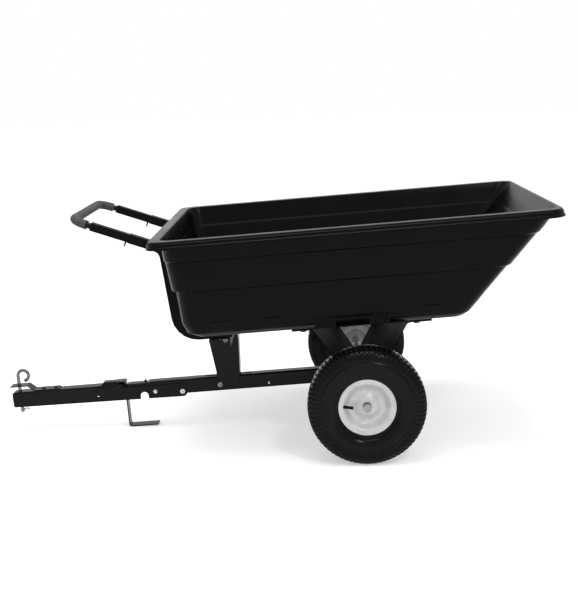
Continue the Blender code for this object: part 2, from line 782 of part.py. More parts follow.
def make_drawbar():
    """The inverted channel from the nose to the axle, with the lugs of the tongue's pivot."""
    made = side_plate("rear_drawbar", drawbar_outline(), -BAR_HALF_WIDTH, BAR_HALF_WIDTH)
    inside, bend = BAR_HALF_WIDTH - BAR_SHEET, BEND_RADIUS - BAR_SHEET
    step = NOSE_REAR + NOSE_STEP
    tab = (NOSE_TAB_X - BAR_SHEET, -inside / 3, NOSE_TOP - BAR_SHEET / 2)
    join(made, box("nose_tab", tab, (NOSE_TAB_X + BAR_SHEET, inside / 3, NOSE_TAB_TOP)))
    rear = BAR_REAR + PAST
    cut(made, *edge_cutters("bar_edge", step + TURN_GAP, rear, BAR_HALF_WIDTH, BAR_TOP, BEND_RADIUS))
    front = NOSE_FRONT - PAST
    rear = NOSE_REAR - TURN_GAP
    cut(made, *edge_cutters("nose_edge", front, rear, BAR_HALF_WIDTH, NOSE_TOP, BEND_RADIUS))
    channel = folded_outline(inside, BAR_TOP - BAR_SHEET, -BELOW, bend)
    cut(made, bar_along("drawbar_channel", channel, step + BAR_SHEET, BAR_REAR + PAST))
    channel = folded_outline(inside, NOSE_TOP - BAR_SHEET, -BELOW, bend)
    cut(made, bar_along("nose_channel", channel, front, step + 2 * BAR_SHEET))
    cut(made, hole("pivot_hole", PIVOT, PIVOT_RADIUS + TURN_GAP, ACROSS))
    cut(made, hole("pedal_pin_hole", PEDAL_PIN, PEDAL_PIN_RADIUS + GAP, ACROSS))
    cut(made, hole("post_bolt_hole_low", POST_LOWER_BOLT, POST_BOLT_RADIUS + GAP, ACROSS))
    cut(made, hole("axle_hole_bar", (0, 0), AXLE_RADIUS + GAP, ACROSS))
    near = ring_outline(BAR_HOLE, (BAR_HOLE_RADIUS, BAR_HOLE_RADIUS), 12)
    cut(made, side_plate("drawbar_hole_near", near, -ACROSS, 0))
    far = ring_outline(BAR_FAR_HOLE, (BAR_HOLE_RADIUS, BAR_HOLE_RADIUS), 12)
    cut(made, side_plate("drawbar_hole_far", far, 0, ACROSS))
    spot = (NOSE_HOLE_X, 0, NOSE_TOP - 2 * BAR_SHEET)
    cut(made, rod("nose_hole", spot, (NOSE_HOLE_X, 0, NOSE_TOP + PAST), NOSE_HOLE_RADIUS))
    for k, x in enumerate(BAR_SLOTS_X):
        low = (x - BAR_SLOT_LENGTH / 2, -BAR_SLOT_WIDTH / 2, BAR_TOP - 2 * BAR_SHEET)
        cut(made, box(f"bar_slot_{k}", low, (x + BAR_SLOT_LENGTH / 2, BAR_SLOT_WIDTH / 2, BAR_TOP + PAST)))
    return add(made, COATED_STEEL, ROOT)


def tongue_walls():
    """How far the inside of the tongue's side walls is from the middle."""
    return BAR_HALF_WIDTH + GAP + TURN_GAP / 2


def tongue_outline():
    """The tongue's side: a hood over the latch, then a lower edge beside the nose."""
    slope = (TONGUE_BOTTOM_REAR - TONGUE_BOTTOM_FRONT) / (TONGUE_REAR - TONGUE_FRONT)
    corner = TONGUE_CORNER
    return [
        (TONGUE_FRONT, TONGUE_BOTTOM_FRONT + corner),
        (TONGUE_FRONT + corner * 0.3, TONGUE_BOTTOM_FRONT + corner * 0.3),
        (TONGUE_FRONT + corner, TONGUE_BOTTOM_FRONT),
        (TONGUE_REAR - 1.5 * corner, TONGUE_BOTTOM_REAR - slope * 1.5 * corner),
        (TONGUE_REAR, TONGUE_BOTTOM_REAR + 1.3 * corner),
        (TONGUE_REAR, TONGUE_CUT_TOP),
        (HOOD_REAR, TONGUE_CUT_TOP),
        (HOOD_REAR, TONGUE_TOP),
        (TONGUE_WEB_REAR, TONGUE_TOP),
        (TONGUE_WEB_REAR, HOOD_TOP),
        (HOOD_FRONT + HOOD_SLOPE, HOOD_TOP),
        (HOOD_FRONT, TONGUE_TOP),
        (TONGUE_FRONT + corner, TONGUE_TOP),
        (TONGUE_FRONT + corner * 0.3, TONGUE_TOP - corner * 0.3),
        (TONGUE_FRONT, TONGUE_TOP - corner),
    ]


def hood_cutters(wall, outside):
    """What the hood's sloped sides leave over, outside both of them, and its hollow."""
    lean = Vector((HOOD_TOP - HOOD_FOOT, outside - HOOD_HALF_WIDTH)).normalized() * TONGUE_SHEET
    rise = (HOOD_TOP - HOOD_FOOT) / (outside - HOOD_HALF_WIDTH)
    top = HOOD_TOP + PAST
    peak = HOOD_HALF_WIDTH - PAST / rise
    slope = [(outside + PAST / rise, HOOD_FOOT - PAST), (peak, top), (outside + PAST, top)]
    slope.append((outside + PAST, HOOD_FOOT - PAST))
    front, rear = HOOD_FRONT - HOOD_SLOPE, TONGUE_WEB_REAR + TURN_GAP
    cutters = [
        bar_along("hood_side_0", slope, front, rear),
        bar_along("hood_side_1", [(-y, z) for y, z in slope], front, rear),
    ]
    foot = (outside - lean.x, HOOD_FOOT - lean.y)
    shoulder = foot[1] + (foot[0] - wall) * rise
    under = HOOD_TOP - TONGUE_SHEET
    inner = foot[0] - (under - foot[1]) / rise
    half = [(wall, -BELOW), (wall, shoulder), (inner, under)]
    hollow = [*half, *((-y, z) for y, z in reversed(half))]
    front = HOOD_FRONT + HOOD_SLOPE - TURN_GAP
    cutters.append(bar_along("hood_hollow", hollow, front, TONGUE_WEB_REAR + PAST))
    return cutters


def make_tongue(axis):
    """The folded tongue: web on top as far as the pedal, side walls on to the pivot."""
    wall = tongue_walls()
    made = side_plate("tongue", tongue_outline(), -wall - TONGUE_SHEET, wall + TONGUE_SHEET)
    outside = wall + TONGUE_SHEET
    front = TONGUE_FRONT - PAST
    rear = HOOD_FRONT - TURN_GAP
    cut(made, *edge_cutters("tongue_edge", front, rear, outside, TONGUE_TOP, BEND_RADIUS))
    channel = folded_outline(wall, TONGUE_TOP - TONGUE_SHEET, -BELOW, BEND_RADIUS - TONGUE_SHEET)
    cut(made, bar_along("tongue_channel", channel, front, HOOD_FRONT + HOOD_SLOPE))
    cut(made, *hood_cutters(wall, outside))
    low = (TONGUE_WEB_REAR, -wall, -BELOW)
    cut(made, box("tongue_web_cut", low, (TONGUE_REAR + PAST, wall, BELOW)))
    cut(made, hole("tongue_pivot_hole", PIVOT, PIVOT_RADIUS + TURN_GAP, ACROSS))
    cut(made, hole("stop_hole", STOP_BOLT, STOP_RADIUS + GAP, ACROSS))
    near = ring_outline(SLOT_CENTRE, (SLOT_LENGTH / 2, SLOT_HEIGHT / 2), 12)
    cut(made, side_plate("tongue_slot_near", near, -ACROSS, 0))
    far = ring_outline(FAR_SLOT_CENTRE, (SLOT_LENGTH / 2, FAR_SLOT_HEIGHT / 2), 12)
    cut(made, side_plate("tongue_slot_far", far, 0, ACROSS))
    half = NOTCH_WIDTH / 2
    x, top = NOTCH_CENTRE_X, NOTCH_TOP
    turns = [math.pi * k / 8 for k in range(9)]
    arch = [(x + half * math.cos(a), top - half + half * math.sin(a)) for a in turns]
    cut(made, side_plate("tongue_notch_near", [*arch, (x - half, -BELOW), (x + half, -BELOW)], -ACROSS, 0))
    wide = [(px - NOTCH_FAR_EXTRA * (k > 4), pz) for k, (px, pz) in enumerate(arch)]
    wide += [(x - half - NOTCH_FAR_EXTRA, -BELOW), (x + half, -BELOW)]
    cut(made, side_plate("tongue_notch_far", wide, 0, ACROSS))
    below = TONGUE_TOP - 2 * TONGUE_SHEET
    over = TONGUE_TOP + PAST
    cut(made, rod("tongue_pin_hole", (PIN_X, 0, below), (PIN_X, 0, over), PIN_RADIUS + PIN_HOLE_GAP))
    for k, x in enumerate(RIVETS_X):
        cut(made, rod(f"tongue_rivet_hole_{k}", (x, 0, below), (x, 0, over), RIVET_RADIUS + GAP))
    return add(made, COATED_STEEL, axis)


def make_strap(axis):
    """The clevis's upper jaw: a flat bar that steps up from the tongue's top."""
    base = TONGUE_TOP + GAP
    top = STRAP_THICKNESS
    path = [
        (STRAP_FRONT, STRAP_UNDERSIDE + top / 2),
        (STRAP_RISE_FRONT, STRAP_UNDERSIDE + top / 2),
        (STRAP_RISE_REAR, base + top / 2),
        (STRAP_REAR, base + top / 2),
    ]
    outline = offset_path(path, top / 2) + offset_path(path, -top / 2)[::-1]
    made = side_plate("hitch_strap", outline, -STRAP_HALF_WIDTH, STRAP_HALF_WIDTH)
    over = STRAP_UNDERSIDE + PAST
    cut(made, rod("strap_pin_hole", (PIN_X, 0, base), (PIN_X, 0, over), PIN_RADIUS + PIN_HOLE_GAP))
    for k, x in enumerate(RIVETS_X):
        cut(made, rod(f"strap_rivet_hole_{k}", (x, 0, 0), (x, 0, over), RIVET_RADIUS + GAP))
        under = TONGUE_TOP - TONGUE_SHEET - GAP
        top_z = base + top + GAP
        rivet = bolt(
            f"hitch_rivet_{k + 1}",
            (x, 0, top_z),
            (x, 0, under - 0.0025),
            RIVET_RADIUS,
            head_flats=1.7,
            nut=0.002,
            nut_from=top_z - under,
        )
        add(rivet, COATED_STEEL, axis)
    return add(made, COATED_STEEL, axis)


def make_hitch_pin(axis):
    """A round rod bent over into a loop at its top."""
    centre = Vector((PIN_X + PIN_LOOP_RADIUS, 0, PIN_LOOP_HEIGHT))
    path = [(PIN_X, 0, PIN_BOTTOM), (PIN_X, 0, (PIN_BOTTOM + PIN_LOOP_HEIGHT) / 2)]
    for k in range(17):
        a = math.pi - PIN_LOOP_TURN * k / 16
        path.append((centre.x + PIN_LOOP_RADIUS * math.cos(a), 0, centre.z + PIN_LOOP_RADIUS * math.sin(a)))
    made = tube("hitch_pin", path, PIN_RADIUS)
    low, high = (PIN_X - 2 * PIN_RADIUS, 0, CLIP_HEIGHT), (PIN_X + 2 * PIN_RADIUS, 0, CLIP_HEIGHT)
    cut(made, rod("clip_hole", low, high, CLIP_WIRE + TURN_GAP))
    return add(made, ZINC, axis)


def make_clip(axis):
    """The spring clip: one leg through the pin, the other bowed round behind it."""
    z, half = CLIP_HEIGHT, CLIP_BOW_WIDTH / 2
    start = PIN_X + PIN_RADIUS + 2 * CLIP_WIRE
    turns = [math.pi * k / 8 for k in range(1, 9)]
    bow = [(start + CLIP_BOW_LENGTH / 2 * math.sin(a), half - half * math.cos(a), z) for a in turns]
    path = [(PIN_X - CLIP_FRONT, 0, z), (start, 0, z), *bow]
    path.append((PIN_X + CLIP_WIRE, PIN_RADIUS + 2 * CLIP_WIRE, z))
    path.append((PIN_X - PIN_RADIUS, PIN_RADIUS + 2 * CLIP_WIRE, z))
    return add(tube("pin_clip", path, CLIP_WIRE, 1), WIRE_STEEL, axis)


def make_pedal(axis):
    """The bent bar: head over the tongue's latch, leg, and foot."""
    t = PEDAL_THICKNESS
    front = PEDAL_FRONT
    path = [
        (PEDAL_HEAD_FRONT, HOOD_TOP - t / 2),
        (front + t / 2, HOOD_TOP - t / 2),
        (front + t / 2, PEDAL_FOOT + t / 2),
        (PEDAL_FOOT_REAR, PEDAL_FOOT + t / 2),
    ]
    path = rounded(path, (PEDAL_HEAD_BEND, PEDAL_BEND), steps=4)
    outline = offset_path(path, t / 2) + offset_path(path, -t / 2)[::-1]
    made = side_plate("pedal", outline, -PEDAL_HALF_WIDTH, PEDAL_HALF_WIDTH)
    px, pz = PEDAL_PIN
    reach = EAR_RADIUS
    turns = [math.pi * k / 8 for k in range(9)]
    ear = [(front + t * 0.75, pz + reach), (front + t * 0.75, pz - reach)]
    ear += [(px + reach * math.sin(a), pz - reach * math.cos(a)) for a in turns]
    for k, side in enumerate((-1, 1)):
        inner, outer = sorted((side * (EAR_HALF_SPAN - EAR_THICKNESS), side * EAR_HALF_SPAN))
        join(made, side_plate(f"pedal_ear_{k}", ear, inner, outer))
    cut(made, hole("ear_hole", PEDAL_PIN, PEDAL_PIN_RADIUS + TURN_GAP, EAR_HALF_SPAN + EAR_THICKNESS, 16))
    return add(made, COATED_STEEL, axis)


def make_pedal_spring():
    """The torsion spring on the pedal's pin, between the pedal's ears."""
    px, pz = PEDAL_PIN
    steps = SPRING_TURNS * 10
    half = EAR_HALF_SPAN - EAR_THICKNESS - SPRING_WIRE - SPRING_END_GAP
    pitch = 2 * half / SPRING_TURNS
    print("least gap between the spring's turns: %.4f m" % (pitch - 2 * SPRING_WIRE))
    coil = []
    for k in range(steps + 1):
        a = 2 * math.pi * SPRING_TURNS * k / steps
        y = 2 * half * k / steps - half
        coil.append((px + SPRING_RADIUS * math.cos(a), y, pz + SPRING_RADIUS * math.sin(a)))
    return add(tube("pedal_spring", coil, SPRING_WIRE, 1), WIRE_STEEL, ROOT)


def beam_x():
    """Where the crossmember's middle is along the trailer."""
    return (BEAM_FRONT + BEAM_REAR) / 2


def beam_top():
    """The height of the crossmember's top, under the frame tubes."""
    return TUB_FLOOR - 2 * GAP - TUBE_SIDE


def make_post():
    """The channel that carries the front crossmember on the drawbar."""
    lx, lz = POST_LOWER_BOLT
    foot = POST_FOOT_RADIUS
    outline = [(lx - foot, lz), (lx - foot * 0.7, lz - foot * 0.7), (lx, lz - foot)]
    outline += [(lx + foot, POST_BOTTOM), *POST_REAR, *POST_FRONT]
    inside, outside = POST_INSIDE, POST_INSIDE + POST_SHEET
    made = side_plate("support_post", outline, -outside, outside)
    rear = [(x - POST_SHEET, z) for x, z in POST_REAR]
    front = POST_FRONT[1][0] - PAST
    hollow = [(front, -BELOW), (rear[0][0], -BELOW), *rear, (rear[-1][0], POST_TOP + PAST)]
    hollow.append((front, POST_TOP + PAST))
    cut(made, side_plate("post_hollow", hollow, -inside, inside))
    low = (rear[0][0] - PAST, -inside, -BELOW)
    cut(made, box("post_foot_slot", low, (POST_REAR[2][0] + PAST, inside, POST_WEB_BOTTOM)))
    cut(made, hole("post_hole_low", POST_LOWER_BOLT, POST_BOLT_RADIUS + GAP, ACROSS))
    cut(made, hole("post_hole_high", POST_UPPER_BOLT, POST_BOLT_RADIUS + GAP, ACROSS))
    return add(made, COATED_STEEL, ROOT)


def make_beam():
    """The front crossmember, with two lugs down inside the post."""
    top = beam_top()
    half = BEAM_HALF_LENGTH
    made = box("front_crossmember", (BEAM_FRONT, -half, top - BEAM_DEPTH), (BEAM_REAR, half, top))
    low = (BEAM_FRONT + BEAM_SHEET, -half - PAST, top - BEAM_DEPTH - PAST)
    cut(made, box("beam_channel", low, (BEAM_REAR - BEAM_SHEET, half + PAST, top - BEAM_SHEET)))
    for k, side in enumerate((-1, 1)):
        outer, inner = side * (POST_INSIDE - GAP), side * (POST_INSIDE - GAP - POST_SHEET)
        low = (POST_UPPER_BOLT[0] - BEAM_LUG_HALF, min(outer, inner), BEAM_LUG_BOTTOM)
        high = (POST_UPPER_BOLT[0] + BEAM_LUG_HALF, max(outer, inner), top - BEAM_SHEET / 2)
        join(made, box(f"beam_lug_{k}", low, high))
        y = side * TUBE_OFFSET
        hole_top = (beam_x(), y, top + PAST)
        cut(made, rod(f"beam_hole_{k}", (beam_x(), y, top - PAST), hole_top, tube_bolt_hole()))
    cut(made, hole("beam_lug_hole", POST_UPPER_BOLT, POST_BOLT_RADIUS + GAP, ACROSS))
    return add(made, COATED_STEEL, ROOT)


def make_cradle():
    """The folded sheet under the tub, open at both ends, that the axle runs through."""
    points = [
        (CRADLE_FRONT, CRADLE_TOP),
        (-CRADLE_SHOULDER, CRADLE_TOP),
        (-CRADLE_FOOT_HALF, CRADLE_FOOT_Z),
        (0, CRADLE_VALLEY_Z),
        (CRADLE_FOOT_HALF, CRADLE_FOOT_Z),
        (CRADLE_SHOULDER, CRADLE_TOP),
        (CRADLE_REAR, CRADLE_TOP),
    ]
    foot = CRADLE_SHEET * 4 / 3
    inner = rounded(points, (CRADLE_BEND, foot, AXLE_RADIUS * 1.19, foot, CRADLE_BEND), steps=3)
    outer = offset_path(inner, -CRADLE_SHEET)
    half = CRADLE_HALF_LENGTH
    made = side_plate("axle_cradle", inner + outer[::-1], -half, half)
    low = (-ACROSS, -CRADLE_SLOT_HALF, -BELOW)
    cut(made, box("cradle_slot", low, (ACROSS, CRADLE_SLOT_HALF, CRADLE_SLOT_TOP)))
    for k, (sx, sy) in enumerate(rail_bolts()):
        low, top = (sx, sy, CRADLE_TOP - PAST), (sx, sy, CRADLE_TOP + PAST)
        cut(made, rod(f"cradle_bolt_hole_{k}", low, top, RAIL_BOLT_RADIUS + GAP))
    return add(made, COATED_STEEL, ROOT)


def rail_bolts():
    """Where the four bolts stand, as (x, y)."""
    y = (RAIL_INSIDE + CRADLE_HALF_LENGTH) / 2
    return [(sx * RAIL_BOLT_X, sy * y) for sx in (-1, 1) for sy in (-1, 1)]


def make_rails():
    """The flat bars between the cradle's flanges and the tub, and their bolts."""
    low, high = CRADLE_TOP + GAP, TUB_FLOOR - GAP
    for label, side in (("left", -1), ("right", 1)):
        near, far = sorted((side * RAIL_INSIDE, side * CRADLE_HALF_LENGTH))
        made = box(f"tub_rail_{label}", (CRADLE_FRONT, near, low), (CRADLE_REAR, far, high))
        for k, (sx, sy) in enumerate(rail_bolts()):
            if sy * side > 0:
                ends = ((sx, sy, low - PAST), (sx, sy, high + PAST))
                cut(made, rod(f"rail_hole_{label}_{k}", *ends, RAIL_BOLT_RADIUS + GAP))
        add(made, COATED_STEEL, ROOT)
    under = CRADLE_TOP - CRADLE_SHEET - GAP
    for k, (sx, sy) in enumerate(rail_bolts()):
        made = bolt(f"cradle_bolt_{k + 1}", (sx, sy, under), (sx, sy, high - GAP), RAIL_BOLT_RADIUS, 0.0065)
        add(made, ZINC, ROOT)


def make_cross_bolts():
    """The bolts across the post, and those that hold the frame tubes down."""
    outside = POST_INSIDE + POST_SHEET + GAP
    for name, at in (("post_bolt_lower", POST_LOWER_BOLT), ("post_bolt_upper", POST_UPPER_BOLT)):
        ends = ((at[0], -outside, at[1]), (at[0], outside + 0.006, at[1]))
        made = bolt(name, *ends, POST_BOLT_RADIUS, 0.0035, nut=0.004, nut_from=2 * outside)
        add(made, ZINC, ROOT)
    for label, side in (("left", -1), ("right", 1)):
        y = side * TUBE_OFFSET
        under = beam_top() - BEAM_SHEET - GAP
        top = TUB_FLOOR - GAP - TUBE_SIDE + TUBE_WALL + 0.004
        made = bolt(f"tube_bolt_{label}", (beam_x(), y, under), (beam_x(), y, top), TUBE_BOLT_RADIUS, 0.005)
        add(made, ZINC, ROOT)


def make_tongue_bolts(axis):
    """The pivot bolt through the drawbar's lugs, and the stop bolt under the nose."""
    outside = tongue_walls() + TONGUE_SHEET + GAP
    for name, at, radius in (
        ("tongue_pivot_bolt", PIVOT, PIVOT_RADIUS),
        ("tongue_stop_bolt", STOP_BOLT, STOP_RADIUS),
    ):
        ends = ((at[0], -outside, at[1]), (at[0], outside + 0.005, at[1]))
        made = bolt(name, *ends, radius, 0.0022, 1.6, nut=0.003, nut_from=2 * outside)
        add(made, ZINC, ROOT if at is PIVOT else axis)


def lip_shape(radius, half_width):
    """The pressed rim's lip and bead seat, from the outboard lip inwards along the outside."""
    seat = RIM_SEAT_RADIUS
    return [
        (radius, half_width),
        (radius, half_width - 0.0025),
        (seat + 0.004, half_width - 0.006),
        (seat, half_width - 0.012),
        (seat - 0.006, half_width - 0.024),
    ]


def rim_profile():
    """The wheel's pressed steel shell: lips, a drop centre, and a dished disc with a domed middle."""
    half = RIM_WIDTH / 2
    sheet = RIM_SHEET
    outside = lip_shape(RIM_LIP_RADIUS, half)
    inboard = [(r, -z) for r, z in reversed(outside)]
    bore = HUB_RADIUS + GAP
    disc_front = [
        (RIM_SEAT_RADIUS - sheet - 0.002, half - 0.003),
        (0.066, half - 0.010),
        (0.055, half - 0.020),
        (0.047, half - 0.0225),
        (0.041, half - 0.0215),
        (0.034, half - 0.013),
        (0.026, half - 0.010),
        (bore, half - 0.009),
    ]
    disc_back = [(bore, half - 0.009 - sheet), (0.026, half - 0.010 - sheet)]
    disc_back += [(0.034, half - 0.013 - sheet), (0.041, half - 0.0215 - sheet)]
    disc_back += [(0.060, half - 0.026), (RIM_SEAT_RADIUS - 0.006 - sheet, -half + 0.024)]
    disc_back += [(RIM_SEAT_RADIUS - sheet, -half + 0.010), (RIM_LIP_RADIUS - 0.004, -half)]
    return [*outside, *inboard, *disc_back[::-1], *disc_front[::-1]]


def tyre_profile(raised):
    """One slice of the tyre, from the outboard bead over the tread: (radius, distance outboard)."""
    half = TYRE_WIDTH / 2
    drop = 0.0 if raised else TREAD_DEPTH
    bead = RIM_LIP_RADIUS + 0.0010
    seat = RIM_SEAT_RADIUS + GAP
    middle = TYRE_RADIUS - 0.0010
    outer = [
        (seat, RIM_WIDTH / 2 - 0.0125),
        (bead, RIM_WIDTH / 2 - 0.0032),
        (0.106, half * 0.93),
        (0.134, half),
        (0.1625 - drop * 0.55, half * 0.90 - drop * 0.7),
        (TYRE_RADIUS - 0.0030 - drop, half * 0.70),
        (middle - drop * 0.25, half * 0.30),
    ]
    inner = [(r, -z) for r, z in reversed(outer)]
    return outer + inner


def make_tyre(label, side, axis):
    """The tyre: each pitch of the tread is a block and a narrow groove."""
    sections = []
    for k in range(TREAD_PITCHES):
        for share, raised in ((0.0, True), (0.60, True), (0.80, False)):
            a = 2 * math.pi * (k + share) / TREAD_PITCHES
            turn = Matrix.Rotation(a, 3, "Z")
            sections.append([turn @ Vector((r, 0, z)) for r, z in tyre_profile(raised)])
    made = loft(f"tyre_{label}", sections, cyclic=True)
    made.parent = axis
    made.rotation_euler.x = side * -math.pi / 2
    made.data.materials.append(finish(f"tyre_{label}: tyre rubber", *TYRE_RUBBER[1:]))
    return smooth(made, math.radians(35))


def make_wheel(label, side, axis):
    """A tyre on its rim, with its hub tube and valve."""
    make_tyre(label, side, axis)
    turned(f"wheel_rim_{label}", rim_profile(), 28, axis, WHEEL_PAINT, side)
    bore = AXLE_RADIUS + TURN_GAP
    half = RIM_WIDTH / 2
    hub_out = half - 0.006
    hub = [(HUB_RADIUS, hub_out), (HUB_RADIUS, hub_out - HUB_LENGTH), (bore, hub_out - HUB_LENGTH)]
    turned(f"wheel_hub_{label}", [*hub, (bore, hub_out)], 24, axis, ZINC, side)
    turn = Matrix.Rotation(VALVE_TURN, 3, "Y")
    start = turn @ Vector((-VALVE_BASE_RADIUS, side * (TRACK / 2 + half - VALVE_DEPTH), 0))
    along = turn @ Vector((math.cos(VALVE_ANGLE), side * math.sin(VALVE_ANGLE), 0))
    end = start + along * VALVE_LENGTH
    stem = rod(f"valve_stem_{label}", start, end, VALVE_RADIUS, 10)
    add(stem, VALVE_RUBBER, axis)


def make_axle():
    """The axle, with a pressed cap on each end."""
    reach = TRACK / 2 + RIM_WIDTH / 2
    made = rod("axle", (0, -reach, 0), (0, reach, 0), AXLE_RADIUS, 24)
    add(made, ZINC, ROOT)
    for label, side in (("left", -1), ("right", 1)):
        start = side * (reach + GAP)
        cap = rod(f"axle_cap_{label}", (0, start, 0), (0, start + side * CAP_LENGTH, 0), CAP_RADIUS, 20)
        add(cap, ZINC, ROOT)


def stand_on_ground():
    """Leans the trailer on its tyres and foot, and puts the origin under its middle."""
    reach = math.hypot(PEDAL_FRONT + PEDAL_BEND * 0.4, PEDAL_FOOT)
    below = math.atan2(-PEDAL_FOOT, -PEDAL_FRONT - PEDAL_BEND * 0.4)
    ROOT.rotation_euler.y = -(math.asin(TYRE_RADIUS / reach) - below)
    bpy.context.view_layer.update()
    graph = bpy.context.evaluated_depsgraph_get()
    low, high = Vector((9, 9, 9)), Vector((-9, -9, -9))
    for made in PARTS.objects:
        if made.type == "EMPTY":
            continue
        shown = made.evaluated_get(graph)
        for vertex in shown.data.vertices:
            point = shown.matrix_world @ vertex.co
            low = Vector(map(min, low, point))
            high = Vector(map(max, high, point))
    ROOT.location = (-(low.x + high.x) / 2, -(low.y + high.y) / 2, -low.z)


def make_trailer():
    """Builds every piece on the axis it turns or slides on."""
    make_tub()
    tongue_axis = empty("tongue_axis", ROOT, (PIVOT[0], 0, PIVOT[1]))
    pedal_axis = empty("pedal_axis", ROOT, (PEDAL_PIN[0], 0, PEDAL_PIN[1]))
    pin_axis = empty("hitch_pin_axis", ROOT, (PIN_X, 0, TONGUE_TOP))
    clip_axis = empty("pin_clip_axis", ROOT, (PIN_X, 0, CLIP_HEIGHT))
    handle_axis = empty("handle_axis", ROOT, arm_point(0))
    make_drawbar()
    make_post()
    make_beam()
    make_cradle()
    make_rails()
    make_cross_bolts()
    make_tongue(tongue_axis)
    make_strap(tongue_axis)
    make_tongue_bolts(tongue_axis)
    make_hitch_pin(pin_axis)
    make_clip(clip_axis)
    make_pedal(pedal_axis)
    px, pz = PEDAL_PIN
    reach = BAR_HALF_WIDTH - GAP
    pin = rod("pedal_pin", (px, -reach, pz), (px, reach, pz), PEDAL_PIN_RADIUS)
    add(pin, ZINC, ROOT)
    make_pedal_spring()
    make_handle(handle_axis)
    make_axle()
    for label, side in (("left", -1), ("right", 1)):
        make_frame_tube(label, side)
        make_sleeve(label, side)
        wing_axis = empty(f"wing_screw_{label}_axis", ROOT, arm_point(-WING_OFFSET, side * TUBE_OFFSET))
        make_wing_screw(label, side, wing_axis)
        make_wheel(label, side, wheel_axis(label, side))
    stand_on_ground()


make_trailer()
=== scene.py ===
"""Dresses the garden tractor trailer: its moulded tub, coated steel, tyres, wheels and grip.

Shapes are worked out in the trailer's own frame, square to the tub's rim, with the axle's centre at
(0, 0, 0), X to the rear and Z up, in metres. One matrix then leans them forward, as the trailer
stands on its tyres and on the pedal's foot.
"""

import json
import logging
import math
from collections.abc import Callable, Sequence
from dataclasses import dataclass, field
from enum import Enum

import bmesh
import bpy
from mathutils import Matrix, Vector

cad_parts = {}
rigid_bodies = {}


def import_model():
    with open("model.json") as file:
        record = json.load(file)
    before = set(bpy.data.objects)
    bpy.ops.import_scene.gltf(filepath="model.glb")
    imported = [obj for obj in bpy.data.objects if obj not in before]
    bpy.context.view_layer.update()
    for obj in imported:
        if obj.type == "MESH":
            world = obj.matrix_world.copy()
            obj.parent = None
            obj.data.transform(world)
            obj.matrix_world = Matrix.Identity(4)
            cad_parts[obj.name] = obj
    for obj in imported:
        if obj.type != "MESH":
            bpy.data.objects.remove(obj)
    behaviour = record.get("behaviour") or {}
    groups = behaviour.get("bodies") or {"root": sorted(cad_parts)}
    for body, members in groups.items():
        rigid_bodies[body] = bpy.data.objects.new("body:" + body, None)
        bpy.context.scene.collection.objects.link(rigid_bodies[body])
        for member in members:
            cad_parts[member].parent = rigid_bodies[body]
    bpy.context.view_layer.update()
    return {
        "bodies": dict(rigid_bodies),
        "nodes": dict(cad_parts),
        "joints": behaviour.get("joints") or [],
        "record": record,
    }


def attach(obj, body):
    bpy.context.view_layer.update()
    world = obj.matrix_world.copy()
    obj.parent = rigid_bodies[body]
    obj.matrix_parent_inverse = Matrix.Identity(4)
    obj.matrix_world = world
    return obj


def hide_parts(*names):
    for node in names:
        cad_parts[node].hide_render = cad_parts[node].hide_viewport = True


LOG = logging.getLogger("trailer")
Ring = list[Vector]

LEAN_ANGLE = 0.056148287  # how far the standing trailer leans forward, in radians
STANDING_POINT = Vector((0.3008727, 0.0, 0.1771295))  # the axle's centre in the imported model
LEAN = Matrix.Translation(STANDING_POINT) @ Matrix.Rotation(-LEAN_ANGLE, 4, "Y")
NOISE_SPAN = (0.3, 0.7)  # what a noise pattern mostly holds


class Side(Enum):
    """The two sides of the trailer, with the sign of Y on each."""

    LEFT = -1
    RIGHT = 1

    @property
    def label(self) -> str:
        """The side's word in the names of nodes and bodies."""
        return self.name.lower()


def linear(hex_colour: str) -> tuple[float, float, float, float]:
    """Turns an sRGB hex value into linear colour.

    Args:
        hex_colour: Six hex digits, such as "1a1a1b".

    Returns:
        Linear red, green, blue and an alpha of 1.
    """
    parts = [int(hex_colour[k : k + 2], 16) / 255 for k in (0, 2, 4)]
    turned = [c / 12.92 if c <= 0.04045 else ((c + 0.055) / 1.055) ** 2.4 for c in parts]
    return (turned[0], turned[1], turned[2], 1.0)


def add_node(tree: bpy.types.NodeTree, kind: str, inputs: dict | None = None,
             **settings: object) -> bpy.types.Node:
    """Adds a node with its settings, values and links.

    Args:
        tree: The node tree that gets it.
        kind: The node's type name in Blender.
        inputs: What each input takes: a value, or the output socket that feeds it.
        **settings: The node's own properties.

    Returns:
        The new node.
    """
    node = tree.nodes.new(kind)
    for name, value in settings.items():
        setattr(node, name, value)
    for name, value in (inputs or {}).items():
        if isinstance(value, bpy.types.NodeSocket):
            tree.links.new(value, node.inputs[name])
        else:
            node.inputs[name].default_value = value
    return node


def blank_material(name: str) -> tuple[bpy.types.Material, bpy.types.Node, bpy.types.Node]:
    """Makes a material with only its shader, and the object's own coordinates to pattern by.

    Args:
        name: The material's name.

    Returns:
        The material, its Principled BSDF and its Texture Coordinate node.
    """
    material = bpy.data.materials.new(name)
    material.use_nodes = True
    place = add_node(material.node_tree, "ShaderNodeTexCoord")
    return material, material.node_tree.nodes["Principled BSDF"], place


def colour_drift(tree: bpy.types.NodeTree, pattern: bpy.types.NodeSocket, dark: str,
                 light: str) -> bpy.types.NodeSocket:
    """A colour that drifts between two shades with a pattern.

    Args:
        tree: The node tree.
        pattern: A value from 0 to 1.
        dark: The hex colour at the low end of what the pattern mostly holds.
        light: The hex colour at the high end.

    Returns:
        The colour's output socket.
    """
    ramp = add_node(tree, "ShaderNodeValToRGB", {"Fac": pattern})
    for element, position, colour in zip(ramp.color_ramp.elements, NOISE_SPAN, (dark, light)):
        element.position = position
        element.color = linear(colour)
    return ramp.outputs["Color"]


